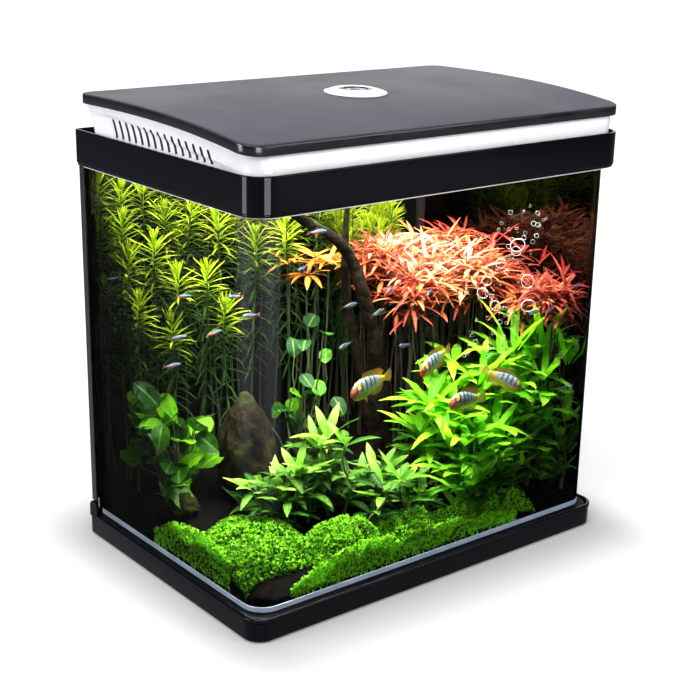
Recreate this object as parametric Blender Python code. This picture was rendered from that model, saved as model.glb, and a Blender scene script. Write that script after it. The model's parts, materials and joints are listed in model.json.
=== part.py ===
"""Desktop aquarium with a bent glass front, a moulded base tray, a top frame and a lift-up lamp hood.

Metres, +Z up. The front faces -Y. The origin is at the bottom centre, on the surface the tank stands on.
"""

import math

import bmesh
import bpy
from mathutils import Matrix, Vector

# Driving dimensions ---------------------------------------------------------------------------------
HALF_WIDTH = 0.240
HALF_DEPTH = 0.160
GAP = 0.0003

FOOT_RADIUS = 0.010
FOOT_HEIGHT = 0.0012
FOOT_INSET = 0.030

BASE_BOTTOM = FOOT_HEIGHT + GAP
BASE_TOP = 0.0266
BASE_WALL = 0.0035
BASE_FLOOR = 0.0030
BASE_FRONT_RADIUS = 0.020
BASE_BACK_RADIUS = 0.004
BASE_LIP_HEIGHT = 0.0046
BASE_TAB_HEIGHT = 0.0150
BASE_TAB_WIDTH = 0.0160

GLASS = 0.005
GLASS_HALF_WIDTH = 0.2360
GLASS_FRONT = -0.1560
GLASS_BACK = 0.1540
GLASS_BEND_RADIUS = 0.029
GLASS_BOTTOM = 0.0248
GLASS_TOP = 0.4440
PANE_BOTTOM = 0.0270

FRAME_BOTTOM = 0.4163
FRAME_TOP = 0.4534
FRAME_WALL = 0.0030
FRAME_FRONT_RADIUS = 0.026
FRAME_BACK_RADIUS = 0.005
LEDGE_TOP = 0.4468
LEDGE_HALF_WIDTH = 0.222
LEDGE_FRONT = -0.142
LEDGE_BACK = 0.1475

PANEL_HALF_WIDTH = 0.2419
PANEL_FRONT = -0.1535
PANEL_BACK = 0.1477
PANEL_FRONT_RADIUS = 0.0205
PANEL_BACK_RADIUS = 0.0170
PANEL_EDGE = 0.0100
PANEL_SKIN = 0.0030
PANEL_SKIRT = 0.0045
ARCH_FRONT = 0.4796
ARCH_BACK = 0.4914
ARCH_RISE = 0.0064
ARCH_SKEW = 0.0058

HOOD_WALL = 0.0025
HOOD_BOTTOM = LEDGE_TOP + GAP
HOOD_BACK = 0.1390
VENTS_PER_SIDE = 15
VENT_PITCH = 0.0121
VENT_MIDDLE = 0.0020
VENT_WIDTH = 0.0042
VENT_LEAN = math.radians(13)
VENT_TOP_DROP = 0.0205
GLAND_X = 0.100
GLAND_Z = 0.4650
GLAND_HOLE_RADIUS = 0.0050

HINGE_Y = 0.1465
HINGE_Z = 0.4585
HINGE_X = 0.165
BARREL_RADIUS = 0.0040
HINGE_PIN_RADIUS = 0.0016
HINGE_BORE_RADIUS = 0.0020
KNUCKLE_LENGTH = 0.018
EAR = 0.003

SWITCH_RADIUS = 0.033
SWITCH_HEIGHT = 0.0045
SWITCH_WELL_RADIUS = 0.0176
BUTTON_RADIUS = 0.0170
CUP_RADIUS = 0.0188
CUP_BOTTOM = 0.4795

LAMP_HALF_LENGTH = 0.229
LAMP_FRONT = -0.085
LAMP_BACK = -0.045
LAMP_BOTTOM = 0.4640
LAMP_TOP = 0.4740
LAMP_CAVITY_HALF = 0.214
LAMP_SCREW_X = 0.2215

TRAY_FRONT = 0.035
TRAY_BACK = 0.1145
TRAY_BOTTOM = 0.4190
TRAY_HALF_TROUGH = 0.219
TRAY_HALF_FLANGE = 0.2290
TRAY_WALL = 0.002

PUMP_X = 0.205
PUMP_Y = 0.118
PUMP_HALF_WIDTH = 0.018
PUMP_HALF_DEPTH = 0.020
PUMP_CORNER = 0.006
PUMP_INTAKE_BOTTOM = 0.100
PUMP_JOIN = 0.130
PUMP_TOP = 0.193
PIPE_Y = 0.122
PIPE_RADIUS = 0.0055
PIPE_BORE = 0.0040

BED_HALF_WIDTH = 0.2300
BED_FRONT = -0.1500
BED_BACK = 0.1480
BED_FRONT_HEIGHT = 0.046
BED_BACK_HEIGHT = 0.086


# Shapes shared by several parts ---------------------------------------------------------------------
def arch(y):
    """Height of the hood panel's top surface at depth y."""
    t = (y - PANEL_FRONT) / (PANEL_BACK - PANEL_FRONT)
    rise = 4 * ARCH_RISE * t * (1 - t)
    skew = ARCH_SKEW * t * (1 - t) * (1 - 2 * t)
    return ARCH_FRONT * (1 - t) + ARCH_BACK * t + rise + skew


def bed(y):
    """Height of the substrate's surface at depth y."""
    return BED_FRONT_HEIGHT + (y - BED_FRONT) * (BED_BACK_HEIGHT - BED_FRONT_HEIGHT) / (BED_BACK - BED_FRONT)


def rounded(half_x, front, back, front_radius, back_radius, steps=5):
    """Points of a rectangle with round corners, anticlockwise from above."""
    corners = (
        (half_x - back_radius, back - back_radius, back_radius, 0),
        (-half_x + back_radius, back - back_radius, back_radius, 90),
        (-half_x + front_radius, front + front_radius, front_radius, 180),
        (half_x - front_radius, front + front_radius, front_radius, 270),
    )
    points = []
    for x, y, radius, start in corners:
        for step in range(steps + 1):
            angle = math.radians(start + 90 * step / steps)
            points.append((x + radius * math.cos(angle), y + radius * math.sin(angle)))
    return points


def at_height(points, height):
    """Lifts a flat outline to a height, which may be a number or a function of y."""
    if callable(height):
        return [Vector((x, y, height(y))) for x, y in points]
    return [Vector((x, y, height)) for x, y in points]


def circle(radius, count, start=0.0):
    turn = math.tau / count
    return [(radius * math.cos(start + turn * i), radius * math.sin(start + turn * i)) for i in range(count)]


def loft(loops, ring=False):
    """Joins loops of equal length with quads: capped at both ends, or closed on itself as a ring."""
    shape = bmesh.new()
    rows = [[shape.verts.new(point) for point in loop] for loop in loops]
    pairs = list(zip(rows, rows[1:]))
    if ring:
        pairs.append((rows[-1], rows[0]))
    for low, high in pairs:
        for i in range(len(low)):
            j = (i + 1) % len(low)
            shape.faces.new((low[i], low[j], high[j], high[i]))
    if not ring:
        shape.faces.new(list(reversed(rows[0])))
        shape.faces.new(rows[-1])
    bmesh.ops.recalc_face_normals(shape, faces=shape.faces)
    return shape


def block(low, high):
    """A box between two corners."""
    corners = ((low[0], low[1]), (high[0], low[1]), (high[0], high[1]), (low[0], high[1]))
    return loft([at_height(corners, low[2]), at_height(corners, high[2])])


def turned(profile, count, axis="Z"):
    """A body of revolution about Z, or about the axis named, from (radius, height) pairs."""
    loops = [[Vector((x, y, z)) for x, y in circle(radius, count)] for radius, z in profile]
    hollow = profile[0] == profile[-1]
    shape = loft(loops[:-1] if hollow else loops, ring=hollow)
    turn = {
        "X": Matrix.Rotation(math.radians(90), 4, "Y"),
        "Y": Matrix.Rotation(math.radians(-90), 4, "X"),
        "Z": Matrix(),
    }
    bmesh.ops.transform(shape, matrix=turn[axis], verts=shape.verts)
    bmesh.ops.recalc_face_normals(shape, faces=shape.faces)
    return shape


def extruded_along_x(outline, x_low, x_high):
    """A (y, z) outline extruded between two x values."""
    return loft([[Vector((x, y, z)) for y, z in outline] for x in (x_low, x_high)])


def swept(path, radii, count=12, bore=None):
    """A round bar along a path of points, or a pipe where a bore radius is given."""
    frames = []
    for i, point in enumerate(path):
        ahead = path[min(i + 1, len(path) - 1)]
        behind = path[max(i - 1, 0)]
        along = (ahead - behind).normalized()
        side = along.cross(Vector((1, 0, 0))).normalized()
        frames.append((point, side, along.cross(side)))
    loops = [
        [point + a * side + b * other for a, b in circle(radius, count)]
        for (point, side, other), radius in zip(frames, radii)
    ]
    if bore is None:
        return loft(loops)
    inside = [
        [point + a * side + b * other for a, b in circle(bore, count)]
        for point, side, other in frames
    ]
    return loft(loops + list(reversed(inside)), ring=True)


# Objects and materials ------------------------------------------------------------------------------
def paint(name, colour, roughness, metallic=0.0, clear=0.0):
    """A material with one Principled shader; clear is how much light it lets through."""
    look = bpy.data.materials.new(name)
    look.use_nodes = True
    shader = look.node_tree.nodes["Principled BSDF"]
    shader.inputs["Base Color"].default_value = (*colour, 1.0)
    shader.inputs["Roughness"].default_value = roughness
    shader.inputs["Metallic"].default_value = metallic
    shader.inputs["Transmission Weight"].default_value = clear
    look.diffuse_color = (*colour, 1.0)
    return look


def part(name, shape, look, place=(0.0, 0.0, 0.0), parent=None, smooth=True):
    """Makes the named object, with its origin at place; shape is in place's own axes."""
    mesh = bpy.data.meshes.new(name)
    shape.to_mesh(mesh)
    shape.free()
    mesh.materials.append(look)
    made = bpy.data.objects.new(name, mesh)
    bpy.context.scene.collection.objects.link(made)
    made.parent = parent
    made.location = place
    if smooth:
        mesh.shade_smooth()
        mesh.set_sharp_from_angle(angle=math.radians(35))
    return made


def pivot(name, place):
    """An empty on a joint's axis, which carries the pieces that move on it."""
    empty = bpy.data.objects.new(name, None)
    bpy.context.scene.collection.objects.link(empty)
    empty.location = place
    return empty


def cut(target, tool_shape, name, parent=None):
    """Cuts a shape, given in target's parent's axes, out of target."""
    mesh = bpy.data.meshes.new(name)
    tool_shape.to_mesh(mesh)
    tool_shape.free()
    tool = bpy.data.objects.new(name, mesh)
    bpy.context.scene.collection.objects.link(tool)
    tool.parent = parent
    tool.hide_render = True
    tool.display_type = "WIRE"
    modifier = target.modifiers.new(name, "BOOLEAN")
    modifier.operation = "DIFFERENCE"
    modifier.object = tool


def shifted(shape, offset):
    bmesh.ops.translate(shape, vec=Vector(offset), verts=shape.verts)
    return shape


def union(target, shape, name):
    """Joins a shape to target, so that both are one body."""
    mesh = bpy.data.meshes.new(name)
    shape.to_mesh(mesh)
    shape.free()
    tool = bpy.data.objects.new(name, mesh)
    bpy.context.scene.collection.objects.link(tool)
    tool.hide_render = True
    tool.display_type = "WIRE"
    modifier = target.modifiers.new(name, "BOOLEAN")
    modifier.operation = "UNION"
    modifier.object = tool


def joined(shapes):
    """One mesh from several closed shapes that don't touch."""
    whole = bmesh.new()
    for shape in shapes:
        mesh = bpy.data.meshes.new("piece")
        shape.to_mesh(mesh)
        shape.free()
        whole.from_mesh(mesh)
        bpy.data.meshes.remove(mesh)
    return whole


# Base ---------------------------------------------------------------------------------------------
def make_base():
    rubber = paint("foot_rubber", (0.03, 0.03, 0.03), 0.85)
    profile = ((0.0085, 0.0), (FOOT_RADIUS, 0.0004), (FOOT_RADIUS, FOOT_HEIGHT))
    for side, x in (("left", -1), ("right", 1)):
        for end, y in (("front", -1), ("rear", 1)):
            place = (x * (HALF_WIDTH - FOOT_INSET), y * (HALF_DEPTH - FOOT_INSET), 0.0)
            part(f"foot_{end}_{side}", turned(profile, 16), rubber, place)

    gloss = paint("base_black", (0.012, 0.012, 0.013), 0.25)

    def outline(inset):
        return rounded(
            HALF_WIDTH - inset,
            -HALF_DEPTH + inset,
            HALF_DEPTH - inset,
            BASE_FRONT_RADIUS - inset,
            max(BASE_BACK_RADIUS - inset, 0.0008),
        )

    lip = BASE_TOP - BASE_LIP_HEIGHT
    tray = loft(
        [
            at_height(outline(0.0030), BASE_BOTTOM),
            at_height(outline(0.0010), BASE_BOTTOM + 0.0020),
            at_height(outline(0.0008), lip),
            at_height(outline(0.0000), lip + 0.0006),
            at_height(outline(0.0000), BASE_TOP - 0.0010),
            at_height(outline(0.0008), BASE_TOP),
            at_height(outline(BASE_WALL), BASE_TOP),
            at_height(outline(BASE_WALL), BASE_BOTTOM + BASE_FLOOR),
        ]
    )
    base = part("base_tray", tray, gloss)
    for side, x in (("left", -1), ("right", 1)):
        tab = rear_tab_outline()
        outer = x * (HALF_WIDTH - 0.0004)
        inner = x * (HALF_WIDTH - 0.0026)
        tab_shape = extruded_along_x(tab, min(outer, inner), max(outer, inner))
        union(base, tab_shape, f"rear_tab_{side}")

    foam = paint("levelling_foam", (0.10, 0.10, 0.11), 0.9)

    wide = rounded(0.2358, -0.1558, 0.1558, BASE_FRONT_RADIUS, 0.002)
    narrow = rounded(0.2303, -0.1503, 0.1484, GLASS_BEND_RADIUS - GLASS + 0.002, 0.002)
    pad_top = GLASS_BOTTOM - GAP
    pad = loft(
        [
            at_height(wide, BASE_BOTTOM + BASE_FLOOR + GAP),
            at_height(wide, pad_top),
            at_height(narrow, pad_top),
            at_height(narrow, PANE_BOTTOM - GAP),
        ]
    )
    part("levelling_pad", pad, foam)


def rear_tab_outline():
    """Round-topped tab that stands up at each rear corner of the base, as (y, z) points."""
    back = HALF_DEPTH - 0.0004
    front = back - BASE_TAB_WIDTH
    radius = BASE_TAB_WIDTH / 2
    top = BASE_TOP + BASE_TAB_HEIGHT - radius
    points = [(front, BASE_TOP - 0.0040), (back, BASE_TOP - 0.0040)]
    for step in range(9):
        angle = math.pi * step / 8
        points.append((back - radius + radius * math.cos(angle), top + radius * math.sin(angle)))
    return points


# Glass --------------------------------------------------------------------------------------------
def bent_path(half_x, front, back, radius, steps=8):
    """The bent pane's outline from the rear left end, round both front corners, to the rear right end."""
    points = [(-half_x, back)]
    for centre_x, start in ((-half_x + radius, 180), (half_x - radius, 270)):
        for step in range(steps + 1):
            angle = math.radians(start + 90 * step / steps)
            points.append((centre_x + radius * math.cos(angle), front + radius + radius * math.sin(angle)))
    points.append((half_x, back))
    return points


def make_glass():
    glass = paint("tank_glass", (0.86, 0.95, 0.94), 0.02, clear=1.0)
    outer = bent_path(GLASS_HALF_WIDTH, GLASS_FRONT, GLASS_BACK, GLASS_BEND_RADIUS)
    inner = bent_path(GLASS_HALF_WIDTH - GLASS, GLASS_FRONT + GLASS, GLASS_BACK, GLASS_BEND_RADIUS - GLASS)
    sections = []
    for (ox, oy), (ix, iy) in zip(outer, inner):
        sections.append(
            [
                Vector((ox, oy, GLASS_BOTTOM)),
                Vector((ix, iy, GLASS_BOTTOM)),
                Vector((ix, iy, GLASS_TOP)),
                Vector((ox, oy, GLASS_TOP)),
            ]
        )
    part("bent_front_glass", loft(sections), glass)

    inside = GLASS_HALF_WIDTH - GLASS
    part(
        "rear_pane",
        block((-inside + GAP, GLASS_BACK - GLASS, GLASS_BOTTOM), (inside - GAP, GLASS_BACK, GLASS_TOP)),
        glass,
    )

    seam = 0.0014
    floor_half = inside - 2 * GAP - seam
    floor_front = GLASS_FRONT + GLASS + 2 * GAP + seam
    floor_back = GLASS_BACK - GLASS - 2 * GAP - seam
    radius = GLASS_BEND_RADIUS - GLASS - 0.002
    floor = rounded(floor_half, floor_front, floor_back, radius, 0.001)
    part("bottom_pane", loft([at_height(floor, PANE_BOTTOM), at_height(floor, PANE_BOTTOM + GLASS)]), glass)

    silicone = paint("clear_silicone", (0.75, 0.82, 0.84), 0.35)

    def seam_outline(grow):
        return rounded(
            floor_half + grow, floor_front - grow, floor_back + grow, radius + grow, 0.001 + grow
        )

    near = seam_outline(GAP)
    far = seam_outline(GAP + seam)
    top = PANE_BOTTOM + GLASS
    seam_loops = [
        at_height(near, PANE_BOTTOM),
        at_height(far, PANE_BOTTOM),
        at_height(far, top),
        at_height(near, top),
    ]
    part("bottom_seam", loft(seam_loops, ring=True), silicone)

    film = paint("background_black", (0.01, 0.01, 0.012), 0.6)
    part(
        "background_film",
        block(
            (-inside + 0.001, GLASS_BACK + GAP, BASE_TOP + 0.001),
            (inside - 0.001, GLASS_BACK + GAP + 0.0005, FRAME_BOTTOM - 0.001),
        ),
        film,
    )

    trim = paint("corner_trim_black", (0.015, 0.015, 0.016), 0.4)
    leg_front = GLASS_BACK - 0.0065
    back = GLASS_BACK + 0.0026
    side_out = GLASS_HALF_WIDTH + GAP + 0.0010
    rear_in = GLASS_HALF_WIDTH - 0.014
    for side, x in (("left", -1), ("right", 1)):
        angle_piece = [
            (x * side_out, leg_front),
            (x * side_out, back),
            (x * rear_in, back),
            (x * rear_in, back - 0.0014),
            (x * (GLASS_HALF_WIDTH + GAP), back - 0.0014),
            (x * (GLASS_HALF_WIDTH + GAP), leg_front),
        ]
        low = at_height(angle_piece, BASE_TOP + BASE_TAB_HEIGHT + GAP)
        high = at_height(angle_piece, FRAME_BOTTOM - GAP)
        part(f"corner_trim_{side}", loft([low, high]), trim, smooth=False)


# Top frame and hinge brackets -------------------------------------------------------------------------
def make_top_frame():
    gloss = paint("frame_black", (0.012, 0.012, 0.013), 0.22)

    def outline(inset):
        return rounded(
            HALF_WIDTH - inset,
            -HALF_DEPTH + inset,
            HALF_DEPTH - inset,
            FRAME_FRONT_RADIUS - inset,
            max(FRAME_BACK_RADIUS - inset, 0.0008),
        )

    ledge = rounded(LEDGE_HALF_WIDTH, LEDGE_FRONT, LEDGE_BACK, 0.012, 0.003)
    section = [
        at_height(outline(0.0010), FRAME_BOTTOM),
        at_height(outline(0.0010), FRAME_BOTTOM + 0.0020),
        at_height(outline(0.0000), FRAME_BOTTOM + 0.0028),
        at_height(outline(0.0000), FRAME_TOP - 0.0010),
        at_height(outline(0.0008), FRAME_TOP),
        at_height(outline(FRAME_WALL), FRAME_TOP),
        at_height(outline(FRAME_WALL), LEDGE_TOP),
        at_height(ledge, LEDGE_TOP),
        at_height(ledge, GLASS_TOP + GAP),
        at_height(outline(0.0033), GLASS_TOP + GAP),
        at_height(outline(0.0033), FRAME_BOTTOM),
    ]
    part("top_frame", loft(section, ring=True), gloss)

    grey = paint("hinge_nylon", (0.05, 0.05, 0.055), 0.5)
    steel = paint("hinge_steel", (0.62, 0.62, 0.63), 0.3, 1.0)
    half = KNUCKLE_LENGTH / 2 + GAP + EAR
    for side, x in (("left", -HINGE_X), ("right", HINGE_X)):
        plate = extruded_along_x(bracket_outline(), x - half, x + half)
        bracket = part(f"hinge_bracket_{side}", plate, grey, smooth=False)
        slot_half = KNUCKLE_LENGTH / 2 + GAP
        reach = BARREL_RADIUS + 0.0006
        slot = block(
            (x - slot_half, HINGE_Y - 0.010, HINGE_Z - reach),
            (x + slot_half, HINGE_Y + reach, HINGE_Z + 0.010),
        )
        cut(bracket, slot, f"knuckle_slot_{side}")
        bore = turned(((HINGE_BORE_RADIUS, -half - 0.001), (HINGE_BORE_RADIUS, half + 0.001)), 16, "X")
        cut(bracket, shifted(bore, (x, HINGE_Y, HINGE_Z)), f"bracket_bore_{side}")
        pin = turned(((HINGE_PIN_RADIUS, -half - 0.0004), (HINGE_PIN_RADIUS, half + 0.0004)), 14, "X")
        part(f"hinge_pin_{side}", pin, steel, (x, HINGE_Y, HINGE_Z))


def bracket_outline():
    """Hinge bracket seen from the side, as (y, z): a foot on the frame's ledge under a round head."""
    foot = LEDGE_TOP + GAP
    points = [(0.1482, foot), (0.1562, foot), (0.1562, foot + 0.0040)]
    for step in range(9):
        angle = math.radians(10 + 190 * step / 8)
        points.append(
            (HINGE_Y + BARREL_RADIUS * math.cos(angle), HINGE_Z + BARREL_RADIUS * math.sin(angle))
        )
    return points


# Hood ---------------------------------------------------------------------------------------------
def make_hood(hinge):
    """The hood's pieces hang on the hinge empty; their shapes are drawn in the tank's own axes."""
    home = (-hinge.location.x, -hinge.location.y, -hinge.location.z)
    make_panel(hinge, home)
    make_hood_body(hinge, home)
    make_lamp(hinge, home)
    make_switch(hinge, home)
    make_knuckles(hinge)


def make_panel(hinge, home):
    black = paint("panel_black", (0.045, 0.046, 0.055), 0.5)

    def outline(inset):
        return rounded(
            PANEL_HALF_WIDTH - inset,
            PANEL_FRONT + inset,
            PANEL_BACK - inset,
            PANEL_FRONT_RADIUS - inset,
            PANEL_BACK_RADIUS - inset,
            6,
        )

    def arched(outline_points, drop):
        return at_height(crossed(outline_points), lambda y: arch(y) - drop)

    section = [
        arched(outline(0.0008), 0.0),
        arched(outline(0.0000), 0.0010),
        arched(outline(0.0000), PANEL_EDGE),
        arched(outline(PANEL_SKIRT), PANEL_EDGE),
        arched(outline(PANEL_SKIRT), PANEL_SKIN),
    ]
    panel = part("top_panel", arched_shell(section), black, home, hinge)
    well = turned(((CUP_RADIUS + GAP, 0.470), (CUP_RADIUS + GAP, 0.500)), 24)
    cut(panel, shifted(well, home), "switch_well", hinge)


def crossed(points, rows=12):
    """Adds points down the two straight sides, so that the outline can follow the arch."""
    out = []
    count = len(points)
    for i, (x, y) in enumerate(points):
        out.append((x, y))
        nx, ny = points[(i + 1) % count]
        if abs(ny - y) > 0.1:
            for row in range(1, rows):
                out.append((x + (nx - x) * row / rows, y + (ny - y) * row / rows))
    return out


def arched_shell(section):
    """A shell from loops that run over its edge, whose first and last loops are bridged by an arched skin."""
    shape = bmesh.new()
    rows = [[shape.verts.new(point) for point in loop] for loop in section]
    for low, high in zip(rows, rows[1:]):
        for i in range(len(low)):
            j = (i + 1) % len(low)
            shape.faces.new((low[i], low[j], high[j], high[i]))
    for row in (rows[0], rows[-1]):
        bridge_sides(shape, row)
    bmesh.ops.recalc_face_normals(shape, faces=shape.faces)
    return shape


def bridge_sides(shape, row):
    """Fills a loop that is symmetric about x = 0 with strips that run across it, left to right."""
    right = sorted((v for v in row if v.co.x > 0), key=lambda v: (round(v.co.y, 6), v.co.x))
    left = sorted((v for v in row if v.co.x < 0), key=lambda v: (round(v.co.y, 6), -v.co.x))
    for (r0, r1), (l0, l1) in zip(zip(right, right[1:]), zip(left, left[1:])):
        shape.faces.new((l0, r0, r1, l1))


def make_hood_body(hinge, home):
    white = paint("hood_white", (0.86, 0.86, 0.88), 0.3)

    def outline(half_x, front, back, front_radius=0.024, back_radius=0.014):
        return crossed(rounded(half_x, front, back, front_radius, back_radius, 6))

    def under(drop):
        return lambda y: arch(y) - PANEL_EDGE - GAP - drop

    def between(share, drop):
        return lambda y: (1 - share) * (FRAME_TOP + 0.0010) + share * (arch(y) - PANEL_EDGE - GAP - drop)

    wall = HOOD_WALL
    top_half = PANEL_HALF_WIDTH - 0.0035
    section = [
        at_height(outline(0.2325, -0.1535, HOOD_BACK - 0.0010), HOOD_BOTTOM),
        at_height(outline(0.2335, -0.1545, HOOD_BACK), FRAME_TOP + 0.0010),
        at_height(outline(0.2345, -0.1542, HOOD_BACK + 0.0004), between(0.45, 0.0)),
        at_height(outline(top_half, -0.1505, HOOD_BACK + 0.0045), under(0.0)),
        at_height(outline(0.2260, -0.1400, 0.1330, 0.014, 0.008), under(0.0)),
        at_height(outline(0.2260, -0.1400, 0.1330, 0.014, 0.008), under(wall)),
        at_height(outline(top_half - wall - 0.0006, -0.1505 + wall, HOOD_BACK + 0.0045 - wall), under(wall)),
        at_height(outline(0.2345 - wall, -0.1542 + wall, HOOD_BACK + 0.0004 - wall), between(0.45, 0.0)),
        at_height(outline(0.2335 - wall, -0.1545 + wall, HOOD_BACK - wall), FRAME_TOP + 0.0010),
        at_height(outline(0.2325 - wall, -0.1535 + wall, HOOD_BACK - 0.0010 - wall), HOOD_BOTTOM),
    ]
    body = part("hood_body", loft(section, ring=True), white, home, hinge)

    slots = []
    for side in (-1, 1):
        for count in range(VENTS_PER_SIDE):
            y = VENT_MIDDLE + (count - (VENTS_PER_SIDE - 1) / 2) * VENT_PITCH
            slots.append(vent_slot(side, y))
    cut(body, shifted(joined(slots), home), "vent_slots", hinge)
    hole_ends = ((GLAND_HOLE_RADIUS, HOOD_BACK - 0.008), (GLAND_HOLE_RADIUS, HOOD_BACK + 0.008))
    gland_hole = turned(hole_ends, 16, "Y")
    gland_hole = shifted(gland_hole, (GLAND_X, 0.0, GLAND_Z))
    cut(body, shifted(gland_hole, home), "gland_hole", hinge)

    rubber = paint("gland_rubber", (0.03, 0.03, 0.03), 0.8)
    wall_y = HOOD_BACK
    profile = (
        (0.0025, wall_y - 0.0050),
        (0.0060, wall_y - 0.0050),
        (0.0060, wall_y - 0.0032),
        (0.0046, wall_y - 0.0032),
        (0.0046, wall_y + 0.0022),
        (0.0060, wall_y + 0.0022),
        (0.0052, wall_y + 0.0036),
        (0.0025, wall_y + 0.0036),
        (0.0025, wall_y - 0.0050),
    )
    gland = shifted(turned(profile, 16, "Y"), (GLAND_X, 0.0, GLAND_Z))
    part("cable_gland", gland, rubber, home, hinge)


def vent_slot(side, y):
    """A leaning slot through one side wall of the hood, whose lower end is further forward."""
    low = FRAME_TOP - 0.0020
    high = arch(y) - VENT_TOP_DROP
    tall = high - low
    x_out = side * 0.2450
    x_in = side * 0.2290
    slot = block(
        (min(x_out, x_in), -VENT_WIDTH / 2, -tall / 2),
        (max(x_out, x_in), VENT_WIDTH / 2, tall / 2),
    )
    lean = Matrix.Rotation(-VENT_LEAN, 4, "X")
    bmesh.ops.transform(slot, matrix=lean, verts=slot.verts)
    return shifted(slot, (0.0, y, (low + high) / 2))


def make_lamp(hinge, home):
    silver = paint("lamp_silver", (0.75, 0.76, 0.78), 0.4, 0.6)

    def bar(half_x, inset):
        return rounded(half_x, LAMP_FRONT + inset, LAMP_BACK - inset, 0.003, 0.003, 2)

    outer = bar(LAMP_HALF_LENGTH, 0.0)
    inner = bar(LAMP_CAVITY_HALF, 0.0025)
    ceiling = LAMP_TOP - 0.0025
    channel_loops = [
        at_height(inner, ceiling),
        at_height(inner, LAMP_BOTTOM),
        at_height(outer, LAMP_BOTTOM),
        at_height(outer, LAMP_TOP),
    ]
    channel = loft(channel_loops)
    housing = part("lamp_housing", channel, silver, home, hinge)

    board = paint("lamp_board_white", (0.82, 0.83, 0.82), 0.5)
    board_outline = bar(LAMP_CAVITY_HALF - 0.001, 0.0035)
    part(
        "lamp_board",
        loft([at_height(board_outline, ceiling - 0.0018), at_height(board_outline, ceiling - GAP)]),
        board,
        home,
        hinge,
    )

    clear = paint("lamp_lens_clear", (0.95, 0.97, 1.0), 0.15, clear=0.9)
    lens_outline = bar(LAMP_CAVITY_HALF - GAP, 0.0025 + GAP)
    part(
        "lamp_lens",
        loft([at_height(lens_outline, LAMP_BOTTOM + 0.0004), at_height(lens_outline, LAMP_BOTTOM + 0.0024)]),
        clear,
        home,
        hinge,
    )

    steel = paint("screw_steel", (0.6, 0.6, 0.62), 0.35, 1.0)
    y = (LAMP_FRONT + LAMP_BACK) / 2
    for side, x in (("left", -LAMP_SCREW_X), ("right", LAMP_SCREW_X)):
        hole = turned(((0.0021, LAMP_BOTTOM - 0.002), (0.0021, LAMP_TOP + 0.002)), 12)
        cut(housing, shifted(shifted(hole, (x, y, 0.0)), home), f"lamp_hole_{side}", hinge)
        profile = (
            (0.0026, LAMP_BOTTOM - 0.0026),
            (0.0032, LAMP_BOTTOM - 0.0020),
            (0.0032, LAMP_BOTTOM - GAP),
            (0.0016, LAMP_BOTTOM - GAP),
            (0.0016, LAMP_TOP + 0.0002),
        )
        part(f"lamp_screw_{side}", shifted(turned(profile, 12), (x, y, 0.0)), steel, home, hinge)


def make_switch(hinge, home):
    white = paint("bezel_white", (0.88, 0.88, 0.89), 0.25)
    count = 32
    crown = arch(0.0) + SWITCH_HEIGHT

    def ring(radius, height):
        return at_height(circle(radius, count), height)

    def seat(rise):
        return lambda y: arch(y) + rise

    bezel = loft(
        [
            ring(CUP_RADIUS, CUP_BOTTOM),
            ring(CUP_RADIUS, seat(GAP)),
            ring(SWITCH_RADIUS, seat(GAP)),
            ring(SWITCH_RADIUS - 0.0006, seat(0.0014)),
            ring(SWITCH_RADIUS - 0.0060, arch(0.0) + 0.0029),
            ring(SWITCH_RADIUS - 0.0110, crown - 0.0003),
            ring(SWITCH_WELL_RADIUS, crown),
            ring(SWITCH_WELL_RADIUS, CUP_BOTTOM + 0.0012),
        ]
    )
    part("switch_bezel", bezel, white, home, hinge)

    green = paint("switch_board_green", (0.05, 0.22, 0.10), 0.5)
    board = loft([ring(0.0150, CUP_BOTTOM + 0.0015), ring(0.0150, CUP_BOTTOM + 0.0031)])
    part("switch_board", board, green, home, hinge)


def make_button(press):
    """The round push button, drawn about its own seat level, which is the empty's height."""
    chrome = paint("button_chrome", (0.55, 0.56, 0.58), 0.25, 0.8)
    top = SWITCH_HEIGHT - 0.0002
    profile = (
        (BUTTON_RADIUS - 0.0010, -0.0070),
        (BUTTON_RADIUS, -0.0060),
        (BUTTON_RADIUS, top - 0.0006),
        (BUTTON_RADIUS - 0.0006, top),
        (BUTTON_RADIUS - 0.0030, top),
        (BUTTON_RADIUS - 0.0050, top - 0.0006),
    )
    part("switch_button", turned(profile, 32), chrome, parent=press)


def make_knuckles(hinge):
    grey = paint("knuckle_nylon", (0.05, 0.05, 0.055), 0.5)
    reach = HINGE_Y - HOOD_BACK - 0.0012
    outline = [(-reach, -0.0030)]
    for step in range(13):
        angle = math.radians(-135 + 270 * step / 12)
        outline.append((BARREL_RADIUS * math.cos(angle), BARREL_RADIUS * math.sin(angle)))
    outline.append((-reach, 0.0030))
    half = KNUCKLE_LENGTH / 2
    for side, x in (("left", -HINGE_X), ("right", HINGE_X)):
        barrel = extruded_along_x(outline, x - half, x + half)
        knuckle = part(f"hinge_knuckle_{side}", barrel, grey, parent=hinge)
        bore = turned(((HINGE_BORE_RADIUS, -half - 0.001), (HINGE_BORE_RADIUS, half + 0.001)), 16, "X")
        cut(knuckle, shifted(bore, (x, 0.0, 0.0)), f"knuckle_bore_{side}", hinge)


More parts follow.
